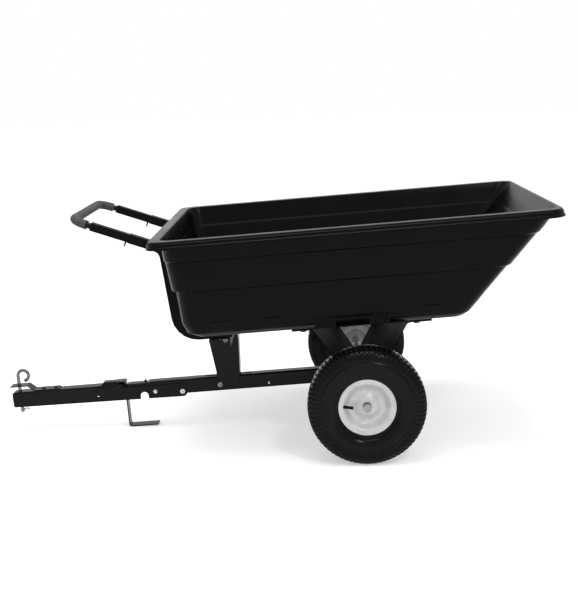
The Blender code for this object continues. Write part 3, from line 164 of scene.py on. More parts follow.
@dataclass(frozen=True)
class MouldedPolyethylene:
    """Black moulded polyethylene: satin, with a faint pebble from the mould.

    The gloss drifts in broad streaks where the melt cooled unevenly. The real pebble is about
    1 mm across, too fine to show, so it is drawn about twice as coarse.
    """

    dark: str = "050506"
    light: str = "080809"
    roughness: tuple[float, float] = (0.20, 0.30)
    specular: float = 0.065
    pebble_mm: float = 2.2
    pebble_height_mm: float = 0.05
    pebble_strength: float = 0.6
    streak_mm: float = 90.0
    streak_detail: float = 5.0

    def make(self, name: str) -> bpy.types.Material:
        """Builds the material.

        Args:
            name: The material's name.

        Returns:
            The material.
        """
        material, shader, place = blank_material(name)
        tree = material.node_tree
        at = place.outputs["Object"]
        streak = add_node(tree, "ShaderNodeTexNoise", {
            "Vector": at, "Scale": 1000 / self.streak_mm, "Detail": self.streak_detail})
        colour = colour_drift(tree, streak.outputs["Fac"], self.dark, self.light)
        tree.links.new(colour, shader.inputs["Base Color"])
        gloss = add_node(tree, "ShaderNodeMapRange", {
            "Value": streak.outputs["Fac"], "From Min": NOISE_SPAN[0], "From Max": NOISE_SPAN[1],
            "To Min": self.roughness[0], "To Max": self.roughness[1]})
        tree.links.new(gloss.outputs["Result"], shader.inputs["Roughness"])
        pebble = add_node(tree, "ShaderNodeTexNoise", {"Vector": at, "Scale": 1000 / self.pebble_mm})
        bump = add_node(tree, "ShaderNodeBump", {
            "Height": pebble.outputs["Fac"], "Strength": self.pebble_strength,
            "Distance": self.pebble_height_mm / 1000})
        tree.links.new(bump.outputs["Normal"], shader.inputs["Normal"])
        # Polyethylene: IOR 1.5. Its pebbled face scatters most of what it would mirror head on.
        shader.inputs["IOR"].default_value = 1.5
        shader.inputs["Specular IOR Level"].default_value = self.specular
        return material


@dataclass(frozen=True)
class PowderCoat:
    """Black powder coat baked on steel: satin, with the fine orange peel that the powder leaves.

    Dust and handling let its gloss drift. The peel is drawn at its real size of 1 to 2 mm.
    """

    dark: str = "060607"
    light: str = "0a0a0b"
    roughness: tuple[float, float] = (0.20, 0.30)
    specular: float = 0.13
    peel_mm: float = 1.6
    peel_height_mm: float = 0.03
    peel_strength: float = 0.5
    dust_mm: float = 60.0
    dust_detail: float = 6.0

    def make(self, name: str) -> bpy.types.Material:
        """Builds the material.

        Args:
            name: The material's name.

        Returns:
            The material.
        """
        material, shader, place = blank_material(name)
        tree = material.node_tree
        at = place.outputs["Object"]
        dust = add_node(tree, "ShaderNodeTexNoise", {
            "Vector": at, "Scale": 1000 / self.dust_mm, "Detail": self.dust_detail})
        colour = colour_drift(tree, dust.outputs["Fac"], self.dark, self.light)
        tree.links.new(colour, shader.inputs["Base Color"])
        gloss = add_node(tree, "ShaderNodeMapRange", {
            "Value": dust.outputs["Fac"], "From Min": NOISE_SPAN[0], "From Max": NOISE_SPAN[1],
            "To Min": self.roughness[0], "To Max": self.roughness[1]})
        tree.links.new(gloss.outputs["Result"], shader.inputs["Roughness"])
        peel = add_node(tree, "ShaderNodeTexNoise", {"Vector": at, "Scale": 1000 / self.peel_mm})
        bump = add_node(tree, "ShaderNodeBump", {
            "Height": peel.outputs["Fac"], "Strength": self.peel_strength,
            "Distance": self.peel_height_mm / 1000})
        tree.links.new(bump.outputs["Normal"], shader.inputs["Normal"])
        # Cured polyester powder: IOR 1.5, and its orange peel takes some of the mirror shine.
        shader.inputs["IOR"].default_value = 1.5
        shader.inputs["Specular IOR Level"].default_value = self.specular
        return material


@dataclass(frozen=True)
class ZincPlate:
    """Zinc plating on turned, pressed or drawn steel: soft metal shine with cloudy passivation."""

    dark: str = "8f9094"
    light: str = "c9c9c6"
    roughness: tuple[float, float] = (0.24, 0.40)
    cloud_mm: float = 8.0

    def make(self, name: str) -> bpy.types.Material:
        """Builds the material.

        Args:
            name: The material's name.

        Returns:
            The material.
        """
        material, shader, place = blank_material(name)
        tree = material.node_tree
        at = place.outputs["Object"]
        cloud = add_node(tree, "ShaderNodeTexNoise", {"Vector": at, "Scale": 1000 / self.cloud_mm})
        colour = colour_drift(tree, cloud.outputs["Fac"], self.dark, self.light)
        tree.links.new(colour, shader.inputs["Base Color"])
        gloss = add_node(tree, "ShaderNodeMapRange", {
            "Value": cloud.outputs["Fac"], "To Min": self.roughness[0], "To Max": self.roughness[1]})
        tree.links.new(gloss.outputs["Result"], shader.inputs["Roughness"])
        shader.inputs["Metallic"].default_value = 1.0
        return material


@dataclass(frozen=True)
class TyreRubber:
    """Moulded black rubber: a soft sheen that scuffs dull in places, over a fine grain.

    The real grain is well under 1 mm, too fine to show, so it is drawn a little coarser.
    """

    dark: str = "060606"
    light: str = "0b0b0b"
    roughness: tuple[float, float] = (0.15, 0.23)
    specular: float = 0.10
    grain_mm: float = 1.2
    grain_height_mm: float = 0.05
    grain_strength: float = 0.5
    scuff_mm: float = 25.0
    scuff_detail: float = 6.0

    def make(self, name: str) -> bpy.types.Material:
        """Builds the material.

        Args:
            name: The material's name.

        Returns:
            The material.
        """
        material, shader, place = blank_material(name)
        tree = material.node_tree
        at = place.outputs["Object"]
        scuff = add_node(tree, "ShaderNodeTexNoise", {
            "Vector": at, "Scale": 1000 / self.scuff_mm, "Detail": self.scuff_detail})
        colour = colour_drift(tree, scuff.outputs["Fac"], self.dark, self.light)
        tree.links.new(colour, shader.inputs["Base Color"])
        gloss = add_node(tree, "ShaderNodeMapRange", {
            "Value": scuff.outputs["Fac"], "To Min": self.roughness[0], "To Max": self.roughness[1]})
        tree.links.new(gloss.outputs["Result"], shader.inputs["Roughness"])
        grain = add_node(tree, "ShaderNodeTexNoise", {"Vector": at, "Scale": 1000 / self.grain_mm})
        bump = add_node(tree, "ShaderNodeBump", {
            "Height": grain.outputs["Fac"], "Strength": self.grain_strength,
            "Distance": self.grain_height_mm / 1000})
        tree.links.new(bump.outputs["Normal"], shader.inputs["Normal"])
        # Vulcanised rubber: IOR 1.52. Its bloom and grain take most of the mirror shine.
        shader.inputs["IOR"].default_value = 1.52
        shader.inputs["Specular IOR Level"].default_value = self.specular
        return material


@dataclass(frozen=True)
class SilverEnamel:
    """Silver-grey enamel sprayed on the pressed wheel: pale, with a faint metallic flake.

    The real flake is a tenth of a millimetre, too fine to show, so it is drawn at 1 mm.
    """

    dark: str = "bababa"
    light: str = "cececd"
    roughness: float = 0.38
    metallic: float = 0.15
    flake_mm: float = 1.0
    flake_height_mm: float = 0.04
    flake_strength: float = 0.25
    cloud_mm: float = 30.0
    cloud_detail: float = 8.0

    def make(self, name: str) -> bpy.types.Material:
        """Builds the material.

        Args:
            name: The material's name.

        Returns:
            The material.
        """
        material, shader, place = blank_material(name)
        tree = material.node_tree
        at = place.outputs["Object"]
        cloud = add_node(tree, "ShaderNodeTexNoise", {
            "Vector": at, "Scale": 1000 / self.cloud_mm, "Detail": self.cloud_detail})
        colour = colour_drift(tree, cloud.outputs["Fac"], self.dark, self.light)
        tree.links.new(colour, shader.inputs["Base Color"])
        flake = add_node(tree, "ShaderNodeTexVoronoi", {"Vector": at, "Scale": 1000 / self.flake_mm})
        bump = add_node(tree, "ShaderNodeBump", {
            "Height": flake.outputs["Distance"], "Strength": self.flake_strength,
            "Distance": self.flake_height_mm / 1000})
        tree.links.new(bump.outputs["Normal"], shader.inputs["Normal"])
        # Enamel: IOR 1.5, with some of the flake's metal in it.
        shader.inputs["IOR"].default_value = 1.5
        shader.inputs["Roughness"].default_value = self.roughness
        shader.inputs["Metallic"].default_value = self.metallic
        return material


@dataclass(frozen=True)
class FoamGrip:
    """Grey moulded foam slid over the tube: matt, with the cut cells of its skin showing as pores."""

    dark: str = "37373a"
    light: str = "434346"
    roughness: float = 0.85
    pore_mm: float = 0.9
    pore_height_mm: float = 0.25
    pore_strength: float = 0.8
    cloud_mm: float = 16.667

    def make(self, name: str) -> bpy.types.Material:
        """Builds the material.

        Args:
            name: The material's name.

        Returns:
            The material.
        """
        material, shader, place = blank_material(name)
        tree = material.node_tree
        at = place.outputs["Object"]
        pore = add_node(tree, "ShaderNodeTexVoronoi", {"Vector": at, "Scale": 1000 / self.pore_mm})
        cloud = add_node(tree, "ShaderNodeTexNoise", {"Vector": at, "Scale": 1000 / self.cloud_mm})
        colour = colour_drift(tree, cloud.outputs["Fac"], self.dark, self.light)
        tree.links.new(colour, shader.inputs["Base Color"])
        bump = add_node(tree, "ShaderNodeBump", {
            "Height": pore.outputs["Distance"], "Strength": self.pore_strength,
            "Distance": self.pore_height_mm / 1000})
        tree.links.new(bump.outputs["Normal"], shader.inputs["Normal"])
        # Foam rubber: IOR 1.5, very rough, so it shows no gloss.
        shader.inputs["IOR"].default_value = 1.5
        shader.inputs["Roughness"].default_value = self.roughness
        return material


@dataclass(frozen=True)
class Finishes:
    """The trailer's finishes, each made once."""

    tub: bpy.types.Material
    steel: bpy.types.Material
    # chassis: the darker copy of the steel's coat, whose darker colour is painted shade
    chassis: bpy.types.Material
    zinc: bpy.types.Material
    dark_zinc: bpy.types.Material
    worn_zinc: bpy.types.Material
    wire: bpy.types.Material
    tyre: bpy.types.Material
    enamel: bpy.types.Material
    grip: bpy.types.Material
    valve: bpy.types.Material


def mix_finishes() -> Finishes:
    """Makes each finish.

    Returns:
        All of them.
    """
    # The tubes and the sheets under the tub get a darker, more matt copy of the drawbar's coat: its darker
    # colour and weaker shine are painted shade.
    shaded_coat = PowderCoat(dark="040404", light="080808", roughness=(0.40, 0.50), specular=0.07)
    # Black passivation over the zinc hides most of its shine.
    dark_zinc = ZincPlate(dark="3c3c3f", light="6c6c6e", cloud_mm=5.0)
    # The hitch pin and the post's lower bolt get a greyer, smoother zinc.
    worn_zinc = ZincPlate(dark="515254", light="858685", roughness=(0.14, 0.24), cloud_mm=6.0)
    drawn_wire = ZincPlate(dark="6f7072", light="a3a3a1", cloud_mm=3.0)
    return Finishes(
        tub=MouldedPolyethylene().make("moulded black polyethylene"),
        steel=PowderCoat().make("powder-coated steel"),
        chassis=shaded_coat.make("matt powder-coated steel"),
        zinc=ZincPlate().make("bright zinc plate"),
        dark_zinc=dark_zinc.make("black zinc plate"),
        worn_zinc=worn_zinc.make("worn zinc plate"),
        wire=drawn_wire.make("drawn spring wire"),
        tyre=TyreRubber().make("moulded tyre rubber"),
        enamel=SilverEnamel().make("sprayed silver enamel"),
        grip=FoamGrip().make("grey foam grip"),
        valve=TyreRubber(dark="0a0a0a", light="101010").make("moulded valve rubber"),
    )


def place_mesh(name: str, shape: bmesh.types.BMesh, sharp_degrees: float = 35.0) -> bpy.types.Object:
    """Turns a shape in the trailer's frame into an object in the world, shaded smooth.

    Args:
        name: The piece's name.
        shape: Its mesh, which is freed.
        sharp_degrees: Edges bent more than this stay sharp.

    Returns:
        The object.
    """
    bmesh.ops.recalc_face_normals(shape, faces=shape.faces)
    mesh = bpy.data.meshes.new(name)
    shape.to_mesh(mesh)
    shape.free()
    mesh.transform(LEAN)
    mesh.shade_smooth()
    mesh.set_sharp_from_angle(angle=math.radians(sharp_degrees))
    made = bpy.data.objects.new(name, mesh)
    bpy.context.scene.collection.objects.link(made)
    return made


def skin(sections: Sequence[Ring], cyclic: bool = False, first_cap: bool = False,
         last_cap: bool = False) -> bmesh.types.BMesh:
    """Joins sections that have as many points each with faces.

    Args:
        sections: Closed rings of points.
        cyclic: Whether the last section joins the first.
        first_cap: Whether the first ring gets a face.
        last_cap: Whether the last ring gets a face.

    Returns:
        The mesh as a BMesh.
    """
    shape = bmesh.new()
    rings = [[shape.verts.new(point) for point in section] for section in sections]
    pairs = list(zip(rings, rings[1:]))
    if cyclic:
        pairs.append((rings[-1], rings[0]))
    for low, high in pairs:
        for k in range(len(low)):
            after = (k + 1) % len(low)
            shape.faces.new((low[k], low[after], high[after], high[k]))
    if first_cap:
        shape.faces.new(rings[0])
    if last_cap:
        shape.faces.new(rings[-1])
    return shape


def turned_rings(profile: Sequence[tuple[float, float]], steps: int, side: Side,
                 middle: float) -> list[Ring]:
    """Rings of a profile turned about the axle.

    Args:
        profile: Closed outline of (radius, distance outboard of the wheel's middle plane).
        steps: How many rings.
        side: Which wheel.
        middle: How far the middle plane is from the trailer's centre.

    Returns:
        The rings.
    """
    rings = []
    for k in range(steps):
        a = 2 * math.pi * k / steps
        c, s = math.cos(a), math.sin(a)
        rings.append([Vector((r * c, side.value * (middle + out), r * s)) for r, out in profile])
    return rings


def smooth_profile(points: Sequence[tuple[float, float]], per_span: int) -> list[tuple[float, float]]:
    """Runs a smooth curve through the points of an open profile.

    Args:
        points: The profile's points.
        per_span: Points made from each span.

    Returns:
        The finer profile.
    """
    fine = []
    last = len(points) - 1
    for k in range(last):
        p0, p1 = points[max(k - 1, 0)], points[k]
        p2, p3 = points[k + 1], points[min(k + 2, last)]
        for j in range(per_span):
            t = j / per_span
            fine.append(tuple(
                0.5 * (2 * b + (c - a) * t + (2 * a - 5 * b + 4 * c - d) * t * t
                       + (3 * b - a - 3 * c + d) * t * t * t)
                for a, b, c, d in zip(p0, p1, p2, p3)))
    fine.append(tuple(points[-1]))
    return fine


def dress(piece: bpy.types.Object, body: str, finish: bpy.types.Material) -> None:
    """Gives a piece its finish, hangs it on its body and reports it.

    Args:
        piece: The piece.
        body: The body it moves with.
        finish: Its material.
    """
    piece.data.materials.clear()
    piece.data.materials.append(finish)
    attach(piece, body)
    LOG.info("%s: %s, on %s", piece.name, finish.name, body)


@dataclass
class Tub:
    """The moulded tub: one shell with steps in its walls, a long sloped rear and a rolled rim."""

    wall: float = 0.0045
    floor: float = 0.228
    corner_steps: int = 14
    rim_top: float = 0.540
    rim_half_length: float = 0.603
    rim_half_width: float = 0.438
    rim_corner: float = 0.048
    rim_rear_corner: float = 0.052
    rim_fillet: float = 0.003
    mouth_fillet: float = 0.005
    # How far each ledge down the rim's side is drawn in, and its height.
    rim_side: tuple[tuple[float, float], ...] = (
        (0.0062, 0.5358), (0.0056, 0.5350), (0.0036, 0.5332), (0.0032, 0.5322), (0.0032, 0.5262),
        (0.0028, 0.5254), (0.0006, 0.5234), (0.0, 0.5224), (0.0, 0.517),
    )
    # The mouth's front and rear X, and half of its width.
    mouth: tuple[float, float, float] = (-0.568, 0.588, 0.4045)
    corner_share: float = 0.8  # the inner corners' radius, as a share of the outer ones'
    # Front and rear X of the pads and of the bolt pockets along each lower edge.
    pads: tuple[tuple[float, float], ...] = ((-0.441, -0.380), (-0.283, -0.225), (0.189, 0.238))
    pad_proud: float = 0.0025
    pad_top: float = 0.278
    pad_foot_gap: float = 0.0003
    pockets: tuple[tuple[float, float], ...] = ((-0.1275, -0.078), (0.0325, 0.0835))
    pocket_depth: float = 0.3175
    pocket_top: float = 0.262
    moulded_edge: float = 0.0022
    moulded_edge_steps: int = 3
    moulded_edge_degrees: float = 16.0
    skin_sharp_degrees: float = 30.0
    sharp_degrees: float = 38.0
    # The walls' outside, level by level: height, front X, rear X, half width, corner radius.
    levels: tuple[tuple[float, ...], ...] = (
        (0.228, -0.480, 0.299, 0.300, 0.050),
        (0.2330, -0.4990, 0.3165, 0.322, 0.052),
        (0.246, -0.522, 0.3320, 0.340, 0.055),
        (0.275, -0.533, 0.3560, 0.352, 0.058),
        (0.304, -0.535, 0.3805, 0.3575, 0.060),
        (0.380, -0.5385, 0.4480, 0.368, 0.060),
        (0.384, -0.550, 0.4565, 0.377, 0.062),
        (0.472, -0.559, 0.5345, 0.387, 0.062),
        (0.476, -0.5615, 0.5405, 0.395, 0.064),
        (0.514, -0.564, 0.5720, 0.400, 0.064),
    )

    def ring(self, front: float, rear: float, half: float, radius: float, height: float,
             rear_radius: float | None = None) -> Ring:
        """Points round a rectangle with round corners.

        Args:
            front: Lowest X.
            rear: Highest X.
            half: Half of its width.
            radius: Its corners' radius.
            height: Its height.
            rear_radius: The rear corners' radius, where it differs.

        Returns:
            The ring.
        """
        wide = rear_radius or radius
        centres = (
            (rear - wide, half - wide, 0, wide),
            (front + radius, half - radius, 90, radius),
            (front + radius, -half + radius, 180, radius),
            (rear - wide, -half + wide, 270, wide),
        )
        points = []
        for x, y, first, corner in centres:
            for k in range(self.corner_steps + 1):
                a = math.radians(first + 90 * k / self.corner_steps)
                points.append(Vector((x + corner * math.cos(a), y + corner * math.sin(a), height)))
        return points

    def rim_ring(self, inset: float, height: float) -> Ring:
        """A ring round the rim.

        Args:
            inset: How far it is drawn in from the rim's outside.
            height: Its height.

        Returns:
            The ring.
        """
        length, width = self.rim_half_length - inset, self.rim_half_width - inset
        return self.ring(-length, length, width, self.rim_corner - inset, height,
                         self.rim_rear_corner - inset)

    def shell_rings(self) -> list[Ring]:
        """The shell's inner skin, from the floor up, over the rim and down to the lip's lower edge.

        Returns:
            Its rings.
        """
        rings = []
        for height, front, rear, half, radius in self.levels:
            lift = self.wall if height == self.floor else 0
            rings.append(self.ring(front + self.wall, rear - self.wall, half - self.wall,
                                   radius * self.corner_share - self.wall, height + lift))
        front, rear, half = self.mouth
        radius = self.levels[-1][4] * self.corner_share - self.wall
        fillet, top = self.mouth_fillet, self.rim_top
        for share in (0.0, 0.5, 1.0):
            inset, drop = (1 - share) * fillet / 2, (1 - share) ** 2 * fillet / 2
            rings.append(self.ring(front + inset, rear - inset, half - inset, radius, top - drop))
        fillet, drawn_in = self.rim_fillet, self.rim_side[0][0]
        for turn in (0, 30, 60, 90):
            a = math.radians(turn)
            inset = fillet * (1 - math.sin(a))
            rings.append(self.rim_ring(drawn_in + inset, top - fillet * (1 - math.cos(a))))
        rings += [self.rim_ring(inset, height) for inset, height in self.rim_side]
        return rings

    def half_at(self, height: float) -> float:
        """Half of the tub's outside width at a height.

        Args:
            height: The height.

        Returns:
            Half of the width.
        """
        for low, high in zip(self.levels, self.levels[1:]):
            if low[0] <= height <= high[0]:
                return low[3] + (height - low[0]) / (high[0] - low[0]) * (high[3] - low[3])
        return self.levels[-1][3]

    def bar(self, name: str, outline: Sequence[tuple[float, float]],
            ends: tuple[float, float]) -> bpy.types.Object:
        """A bar along X, to join to the shell or to cut from it.

        Args:
            name: The bar's name.
            outline: Its outline in Y and Z.
            ends: Its front and rear X.

        Returns:
            The bar.
        """
        rings = [[Vector((x, y, z)) for y, z in outline] for x in ends]
        return place_mesh(name, skin(rings, first_cap=True, last_cap=True))

    def pad_outline(self, side: Side) -> list[tuple[float, float]]:
        """A pad's outline: a little proud of the lower edge, and sunk into the wall.

        Args:
            side: Which side of the tub.

        Returns:
            The outline in Y and Z.
        """
        heights = [self.floor + self.pad_foot_gap, self.levels[1][0], self.levels[2][0], self.pad_top]
        outside = [(self.half_at(z) + self.pad_proud, z) for z in heights]
        inside = [(self.half_at(z) - self.wall / 2, z) for z in reversed(heights[1:])]
        foot = (outside[0][0] - 3 * self.pad_proud, heights[0])
        return [(side.value * y, z) for y, z in [foot, *outside, *inside]]

    def box_outline(self, side: Side, near: float, far: float, low: float,
                    high: float) -> list[tuple[float, float]]:
        """A rectangle's outline in Y and Z on one side of the tub."""
        return [(side.value * y, z) for y, z in ((near, low), (far, low), (far, high), (near, high))]

    def mould_details(self, tub: bpy.types.Object) -> None:
        """Joins the pads and the bolt pockets' walls to the shell and cuts the pockets out.

        Args:
            tub: The shell.
        """
        wall, helpers = self.wall, []
        far = self.half_at(self.pocket_top)
        for side in Side:
            for ends in self.pads:
                helpers.append(("UNION", self.bar("pad", self.pad_outline(side), ends)))
            for front, rear in self.pockets:
                outline = self.box_outline(side, self.pocket_depth - wall, far - wall / 2,
                                           self.floor + wall / 2, self.pocket_top + wall)
                helpers.append(("UNION", self.bar("boss", outline, (front - wall, rear + wall))))
            for ends in self.pockets:
                outline = self.box_outline(side, self.pocket_depth, far + wall,
                                           self.floor - wall, self.pocket_top)
                helpers.append(("DIFFERENCE", self.bar("pocket", outline, ends)))
        for operation, helper in helpers:
            boolean = tub.modifiers.new(helper.name, "BOOLEAN")
            boolean.operation = operation
            boolean.solver = "EXACT"
            boolean.object = helper
        graph = bpy.context.evaluated_depsgraph_get()
        whole = bpy.data.meshes.new_from_object(tub.evaluated_get(graph), depsgraph=graph)
        tub.modifiers.clear()
        tub.data = whole
        for _, helper in helpers:
            bpy.data.objects.remove(helper)
        whole.set_sharp_from_angle(angle=math.radians(self.sharp_degrees))

    def build(self) -> bpy.types.Object:
        """Builds the shell from its inner and upper skin.

        Returns:
            The tub.
        """
        tub = place_mesh("tub_shell", skin(self.shell_rings(), first_cap=True), self.skin_sharp_degrees)
        floor = max(tub.data.polygons, key=lambda face: face.area)
        if floor.normal.z < 0:
            tub.data.flip_normals()
        edges = tub.modifiers.new("moulded edges", "BEVEL")
        edges.width = self.moulded_edge
        edges.segments = self.moulded_edge_steps
        edges.limit_method = "ANGLE"
        edges.angle_limit = math.radians(self.moulded_edge_degrees)
        shell = tub.modifiers.new("wall", "SOLIDIFY")
        shell.thickness = self.wall
        shell.offset = -1
        shell.use_even_offset = True
        self.mould_details(tub)
        return tub

    def assemble(self, finishes: Finishes) -> None:
        """Builds and dresses the tub.

        Args:
            finishes: The trailer's finishes.
        """
        tub = self.build()
        dress(tub, "frame", finishes.tub)
        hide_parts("tub")


@dataclass
class Tread:
    """The tyre's blocks: staggered rows on each shoulder and over the crown.

    A block takes the share `block` of each pitch, and its flank the share `ramp`. Outside
    `side_radius` the grooves turn from sideways to inward over `side_reach`.
    """

    pitches: int = 72
    depth: float = 0.0052
    block: float = 0.60
    ramp: float = 0.04
    side_radius: float = 0.140
    side_reach: float = 0.030
    # Where each pitch is cut: the flanks of both rows of blocks, which are half a pitch apart.
    samples: tuple[float, ...] = (0.0, 0.05, 0.10, 0.14, 0.30, 0.46, 0.50, 0.55, 0.60, 0.64, 0.80, 0.96)

    def raised(self, place: float) -> float:
        """How far a block stands out at a place along its pitch.

        Args:
            place: From 0 to 1 along the pitch.

        Returns:
            From 0, the groove's floor, to 1, the block's top.
        """
        place %= 1.0
        if place <= self.block:
            return 1.0
        if place <= self.block + self.ramp:
            return 1.0 - (place - self.block) / self.ramp
        return max(0.0, (place - 1.0 + self.ramp) / self.ramp)


@dataclass
class Wheel:
    """A pressed wheel with its tyre, hub and valve."""

    side: Side
    track: float = 0.772
    tyre_radius: float = 0.1775
    tyre_width: float = 0.110
    lip_radius: float = 0.0858
    seat_radius: float = 0.0740
    rim_width: float = 0.072
    sheet: float = 0.0025
    hub_radius: float = 0.0150
    bore_gap: float = 0.0003
    seat_gap: float = 0.0006
    bead_gap: float = 0.0012
    rim_steps: int = 120
    valve_degrees: float = 21.0  # how far the valve leans outboard
    valve_turn_degrees: float = 5.0  # how far below level it stands
    valve_foot: tuple[float, float] = (0.0690, 0.0060)  # from the axle, and in from the rim's edge
    valve_sides: int = 20
    # The valve's distance from its foot and its radius: foot, stem and ribbed cap.
    valve_stations: tuple[tuple[float, float], ...] = (
        (0.0, 0.0056), (0.003, 0.0056), (0.005, 0.0047), (0.017, 0.0044), (0.0175, 0.0040),
        (0.0182, 0.0049), (0.0195, 0.0052), (0.0210, 0.0048), (0.0220, 0.0052), (0.0235, 0.0048),
        (0.0245, 0.0052), (0.0275, 0.0050), (0.0290, 0.0040),
    )
    tread: Tread = field(default_factory=Tread)

    @property
    def middle(self) -> float:
        """How far the wheel's middle plane is from the trailer's centre."""
        return self.track / 2

    def tyre_rows(self) -> list[tuple[float, float, float, float]]:
        """The tyre's slice, from the outboard bead over the tread to the inboard one.

        Returns:
            Rows of (radius, distance outboard, groove depth, place shift of the blocks).
        """
        half = self.tyre_width / 2
        seat, bead = self.seat_radius + self.seat_gap, self.lip_radius + self.bead_gap
        r = self.tyre_radius
        rim = self.rim_width / 2
        outer = [
            (seat, rim - 0.0135, 0.0, 0.0),
            (bead - 0.003, rim - 0.0045, 0.0, 0.0),
            (bead + 0.0022, rim + 0.0005, 0.0, 0.0),
            (bead + 0.0060, rim + 0.0016, 0.0, 0.0),
            (bead + 0.0085, rim + 0.0030, 0.0, 0.0),
            (bead + 0.0100, rim + 0.0070, 0.0, 0.0),
            (0.0995, half * 0.836, 0.0, 0.0),
            (0.1050, half * 0.900, 0.0, 0.0),
            (0.1100, half * 0.956, 0.0, 0.0),
            (0.1170, half * 0.982, 0.0, 0.0),
            (0.1265, half * 0.985, 0.0, 0.0),
            (0.1335, half * 0.972, 0.0, 0.0),
            (0.1355, half * 0.986, 0.0, 0.0),
            (0.1375, half * 1.0, 0.0, 0.0),
            (0.1386, half * 0.994, 0.30, 0.0),
            (0.1412, half * 0.964, 0.35, 0.0),
            (0.1440, half * 0.934, 0.35, 0.0),
            (0.1490, half * 0.948, 0.30, 0.0),
            (0.1500, half * 0.960, 0.45, 0.0),
            (0.1565, half * 0.942, 0.6, 0.0),
            (0.1620, half * 0.907, 0.9, 0.0),
            (0.1660, half * 0.872, 1.0, 0.0),
            (0.1690, half * 0.828, 1.0, 0.0),
            (0.1715, half * 0.775, 1.0, 0.0),
            (0.1722, half * 0.760, 1.0, 0.0),
            (0.1675, half * 0.735, 0.0, 0.0),
            (0.1685, half * 0.700, 0.0, 0.5),
            (0.1742, half * 0.675, 1.0, 0.5),
            (0.1752, half * 0.640, 1.0, 0.5),
            (0.1760, half * 0.560, 1.0, 0.5),
            (0.1765, half * 0.440, 1.0, 0.5),
            (0.1710, half * 0.415, 0.0, 0.5),
            (0.1712, half * 0.345, 0.0, 0.0),
            (r - 0.0006, half * 0.320, 1.0, 0.0),
            (r, half * 0.220, 1.0, 0.0),
            (r, half * 0.055, 1.0, 0.0),
            (0.1722, half * 0.035, 0.0, 0.0),
        ]
        return outer + [(radius, -out, deep, shift) for radius, out, deep, shift in reversed(outer)]

    def build_tyre(self) -> bpy.types.Object:
        """Builds the tyre with its blocks.

        Returns:
            The tyre.
        """
        rows = self.tyre_rows()
        rings = []
        for pitch in range(self.tread.pitches):
            for place in self.tread.samples:
                a = 2 * math.pi * (pitch + place) / self.tread.pitches
                c, s = math.cos(a), math.sin(a)
                ring = []
                for radius, out, deep, shift in rows:
                    drop = deep * self.tread.depth * (1 - self.tread.raised(place + shift))
                    lean = min(1.0, max(0.0, (radius - self.tread.side_radius) / self.tread.side_reach))
                    r = radius - drop * lean
                    y = self.middle + out - math.copysign(drop * (1 - lean), out)
                    ring.append(Vector((r * c, self.side.value * y, r * s)))
                rings.append(ring)
        return place_mesh(f"tyre_moulding_{self.side.label}", skin(rings, cyclic=True), sharp_degrees=32)

    def build_rim(self) -> bpy.types.Object:
        """Builds the pressed rim and its dished disc.

        Returns:
            The rim.
        """
        half, seat, sheet = self.rim_width / 2, self.seat_radius, self.sheet
        lip, bore = self.lip_radius, self.hub_radius + self.bore_gap
        barrel = [
            (lip - 0.0012, half), (lip, half - 0.0008), (lip, half - 0.0022), (seat + 0.004, half - 0.006),
            (seat, half - 0.012), (seat - 0.006, half - 0.024), (seat - 0.006, -half + 0.024),
            (seat, -half + 0.012), (seat + 0.004, -half + 0.006), (lip, -half + 0.0022),
            (lip, -half + 0.0008), (lip - 0.0012, -half),
        ]
        front = smooth_profile([
            (lip - 0.0012, half), (0.0795, half - 0.0010), (0.0730, half - 0.0028), (0.0680, half - 0.0060),
            (0.0620, half - 0.0125), (0.0560, half - 0.0190), (0.0500, half - 0.0224),
            (0.0440, half - 0.0215), (0.0385, half - 0.0188), (0.0335, half - 0.0158),
            (0.0285, half - 0.0130), (0.0235, half - 0.0110), (bore, half - 0.0098),
        ], per_span=5)
        back = [
            (bore, half - 0.009 - sheet), (0.026, half - 0.010 - sheet), (0.034, half - 0.0135 - sheet),
            (0.041, half - 0.0220 - sheet), (0.058, half - 0.0262), (seat - 0.006 - sheet, -half + 0.024),
            (seat - sheet, -half + 0.010), (lip - 0.004, -half),
        ]
        profile = [*barrel, *back[::-1], *front[1:][::-1]]
        rings = turned_rings(profile, self.rim_steps, self.side, self.middle)
        return place_mesh(f"wheel_pressing_{self.side.label}", skin(rings, cyclic=True), sharp_degrees=40)

    def build_valve(self) -> bpy.types.Object:
        """Builds the valve stem: a tapered rubber foot, a stem and a ribbed cap.

        Returns:
            The valve.
        """
        reach, inset = self.valve_foot
        angle = math.radians(self.valve_degrees)
        turn = Matrix.Rotation(math.radians(self.valve_turn_degrees), 3, "Y")
        start = turn @ Vector((-reach, self.side.value * (self.middle + self.rim_width / 2 - inset), 0))
        along = turn @ Vector((math.cos(angle), self.side.value * math.sin(angle), 0))
        across = turn @ Vector((0, 0, 1))
        other = along.cross(across)
        turns = [2 * math.pi * k / self.valve_sides for k in range(self.valve_sides)]
        rings = [
            [start + along * distance + (across * math.cos(a) + other * math.sin(a)) * radius
             for a in turns]
            for distance, radius in self.valve_stations
        ]
        shape = skin(rings, first_cap=True, last_cap=True)
        return place_mesh(f"valve_{self.side.label}", shape, sharp_degrees=50)

    def assemble(self, finishes: Finishes) -> None:
        """Builds and dresses the wheel.

        Args:
            finishes: The trailer's finishes.
        """
        label = self.side.label
        body = f"wheel_{label}"
        tyre = self.build_tyre()
        dress(tyre, body, finishes.tyre)
        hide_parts(f"tyre_{label}")
        rim = self.build_rim()
        dress(rim, body, finishes.enamel)
        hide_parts(f"wheel_rim_{label}")
        valve = self.build_valve()
        dress(valve, body, finishes.valve)
        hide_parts(f"valve_stem_{label}")


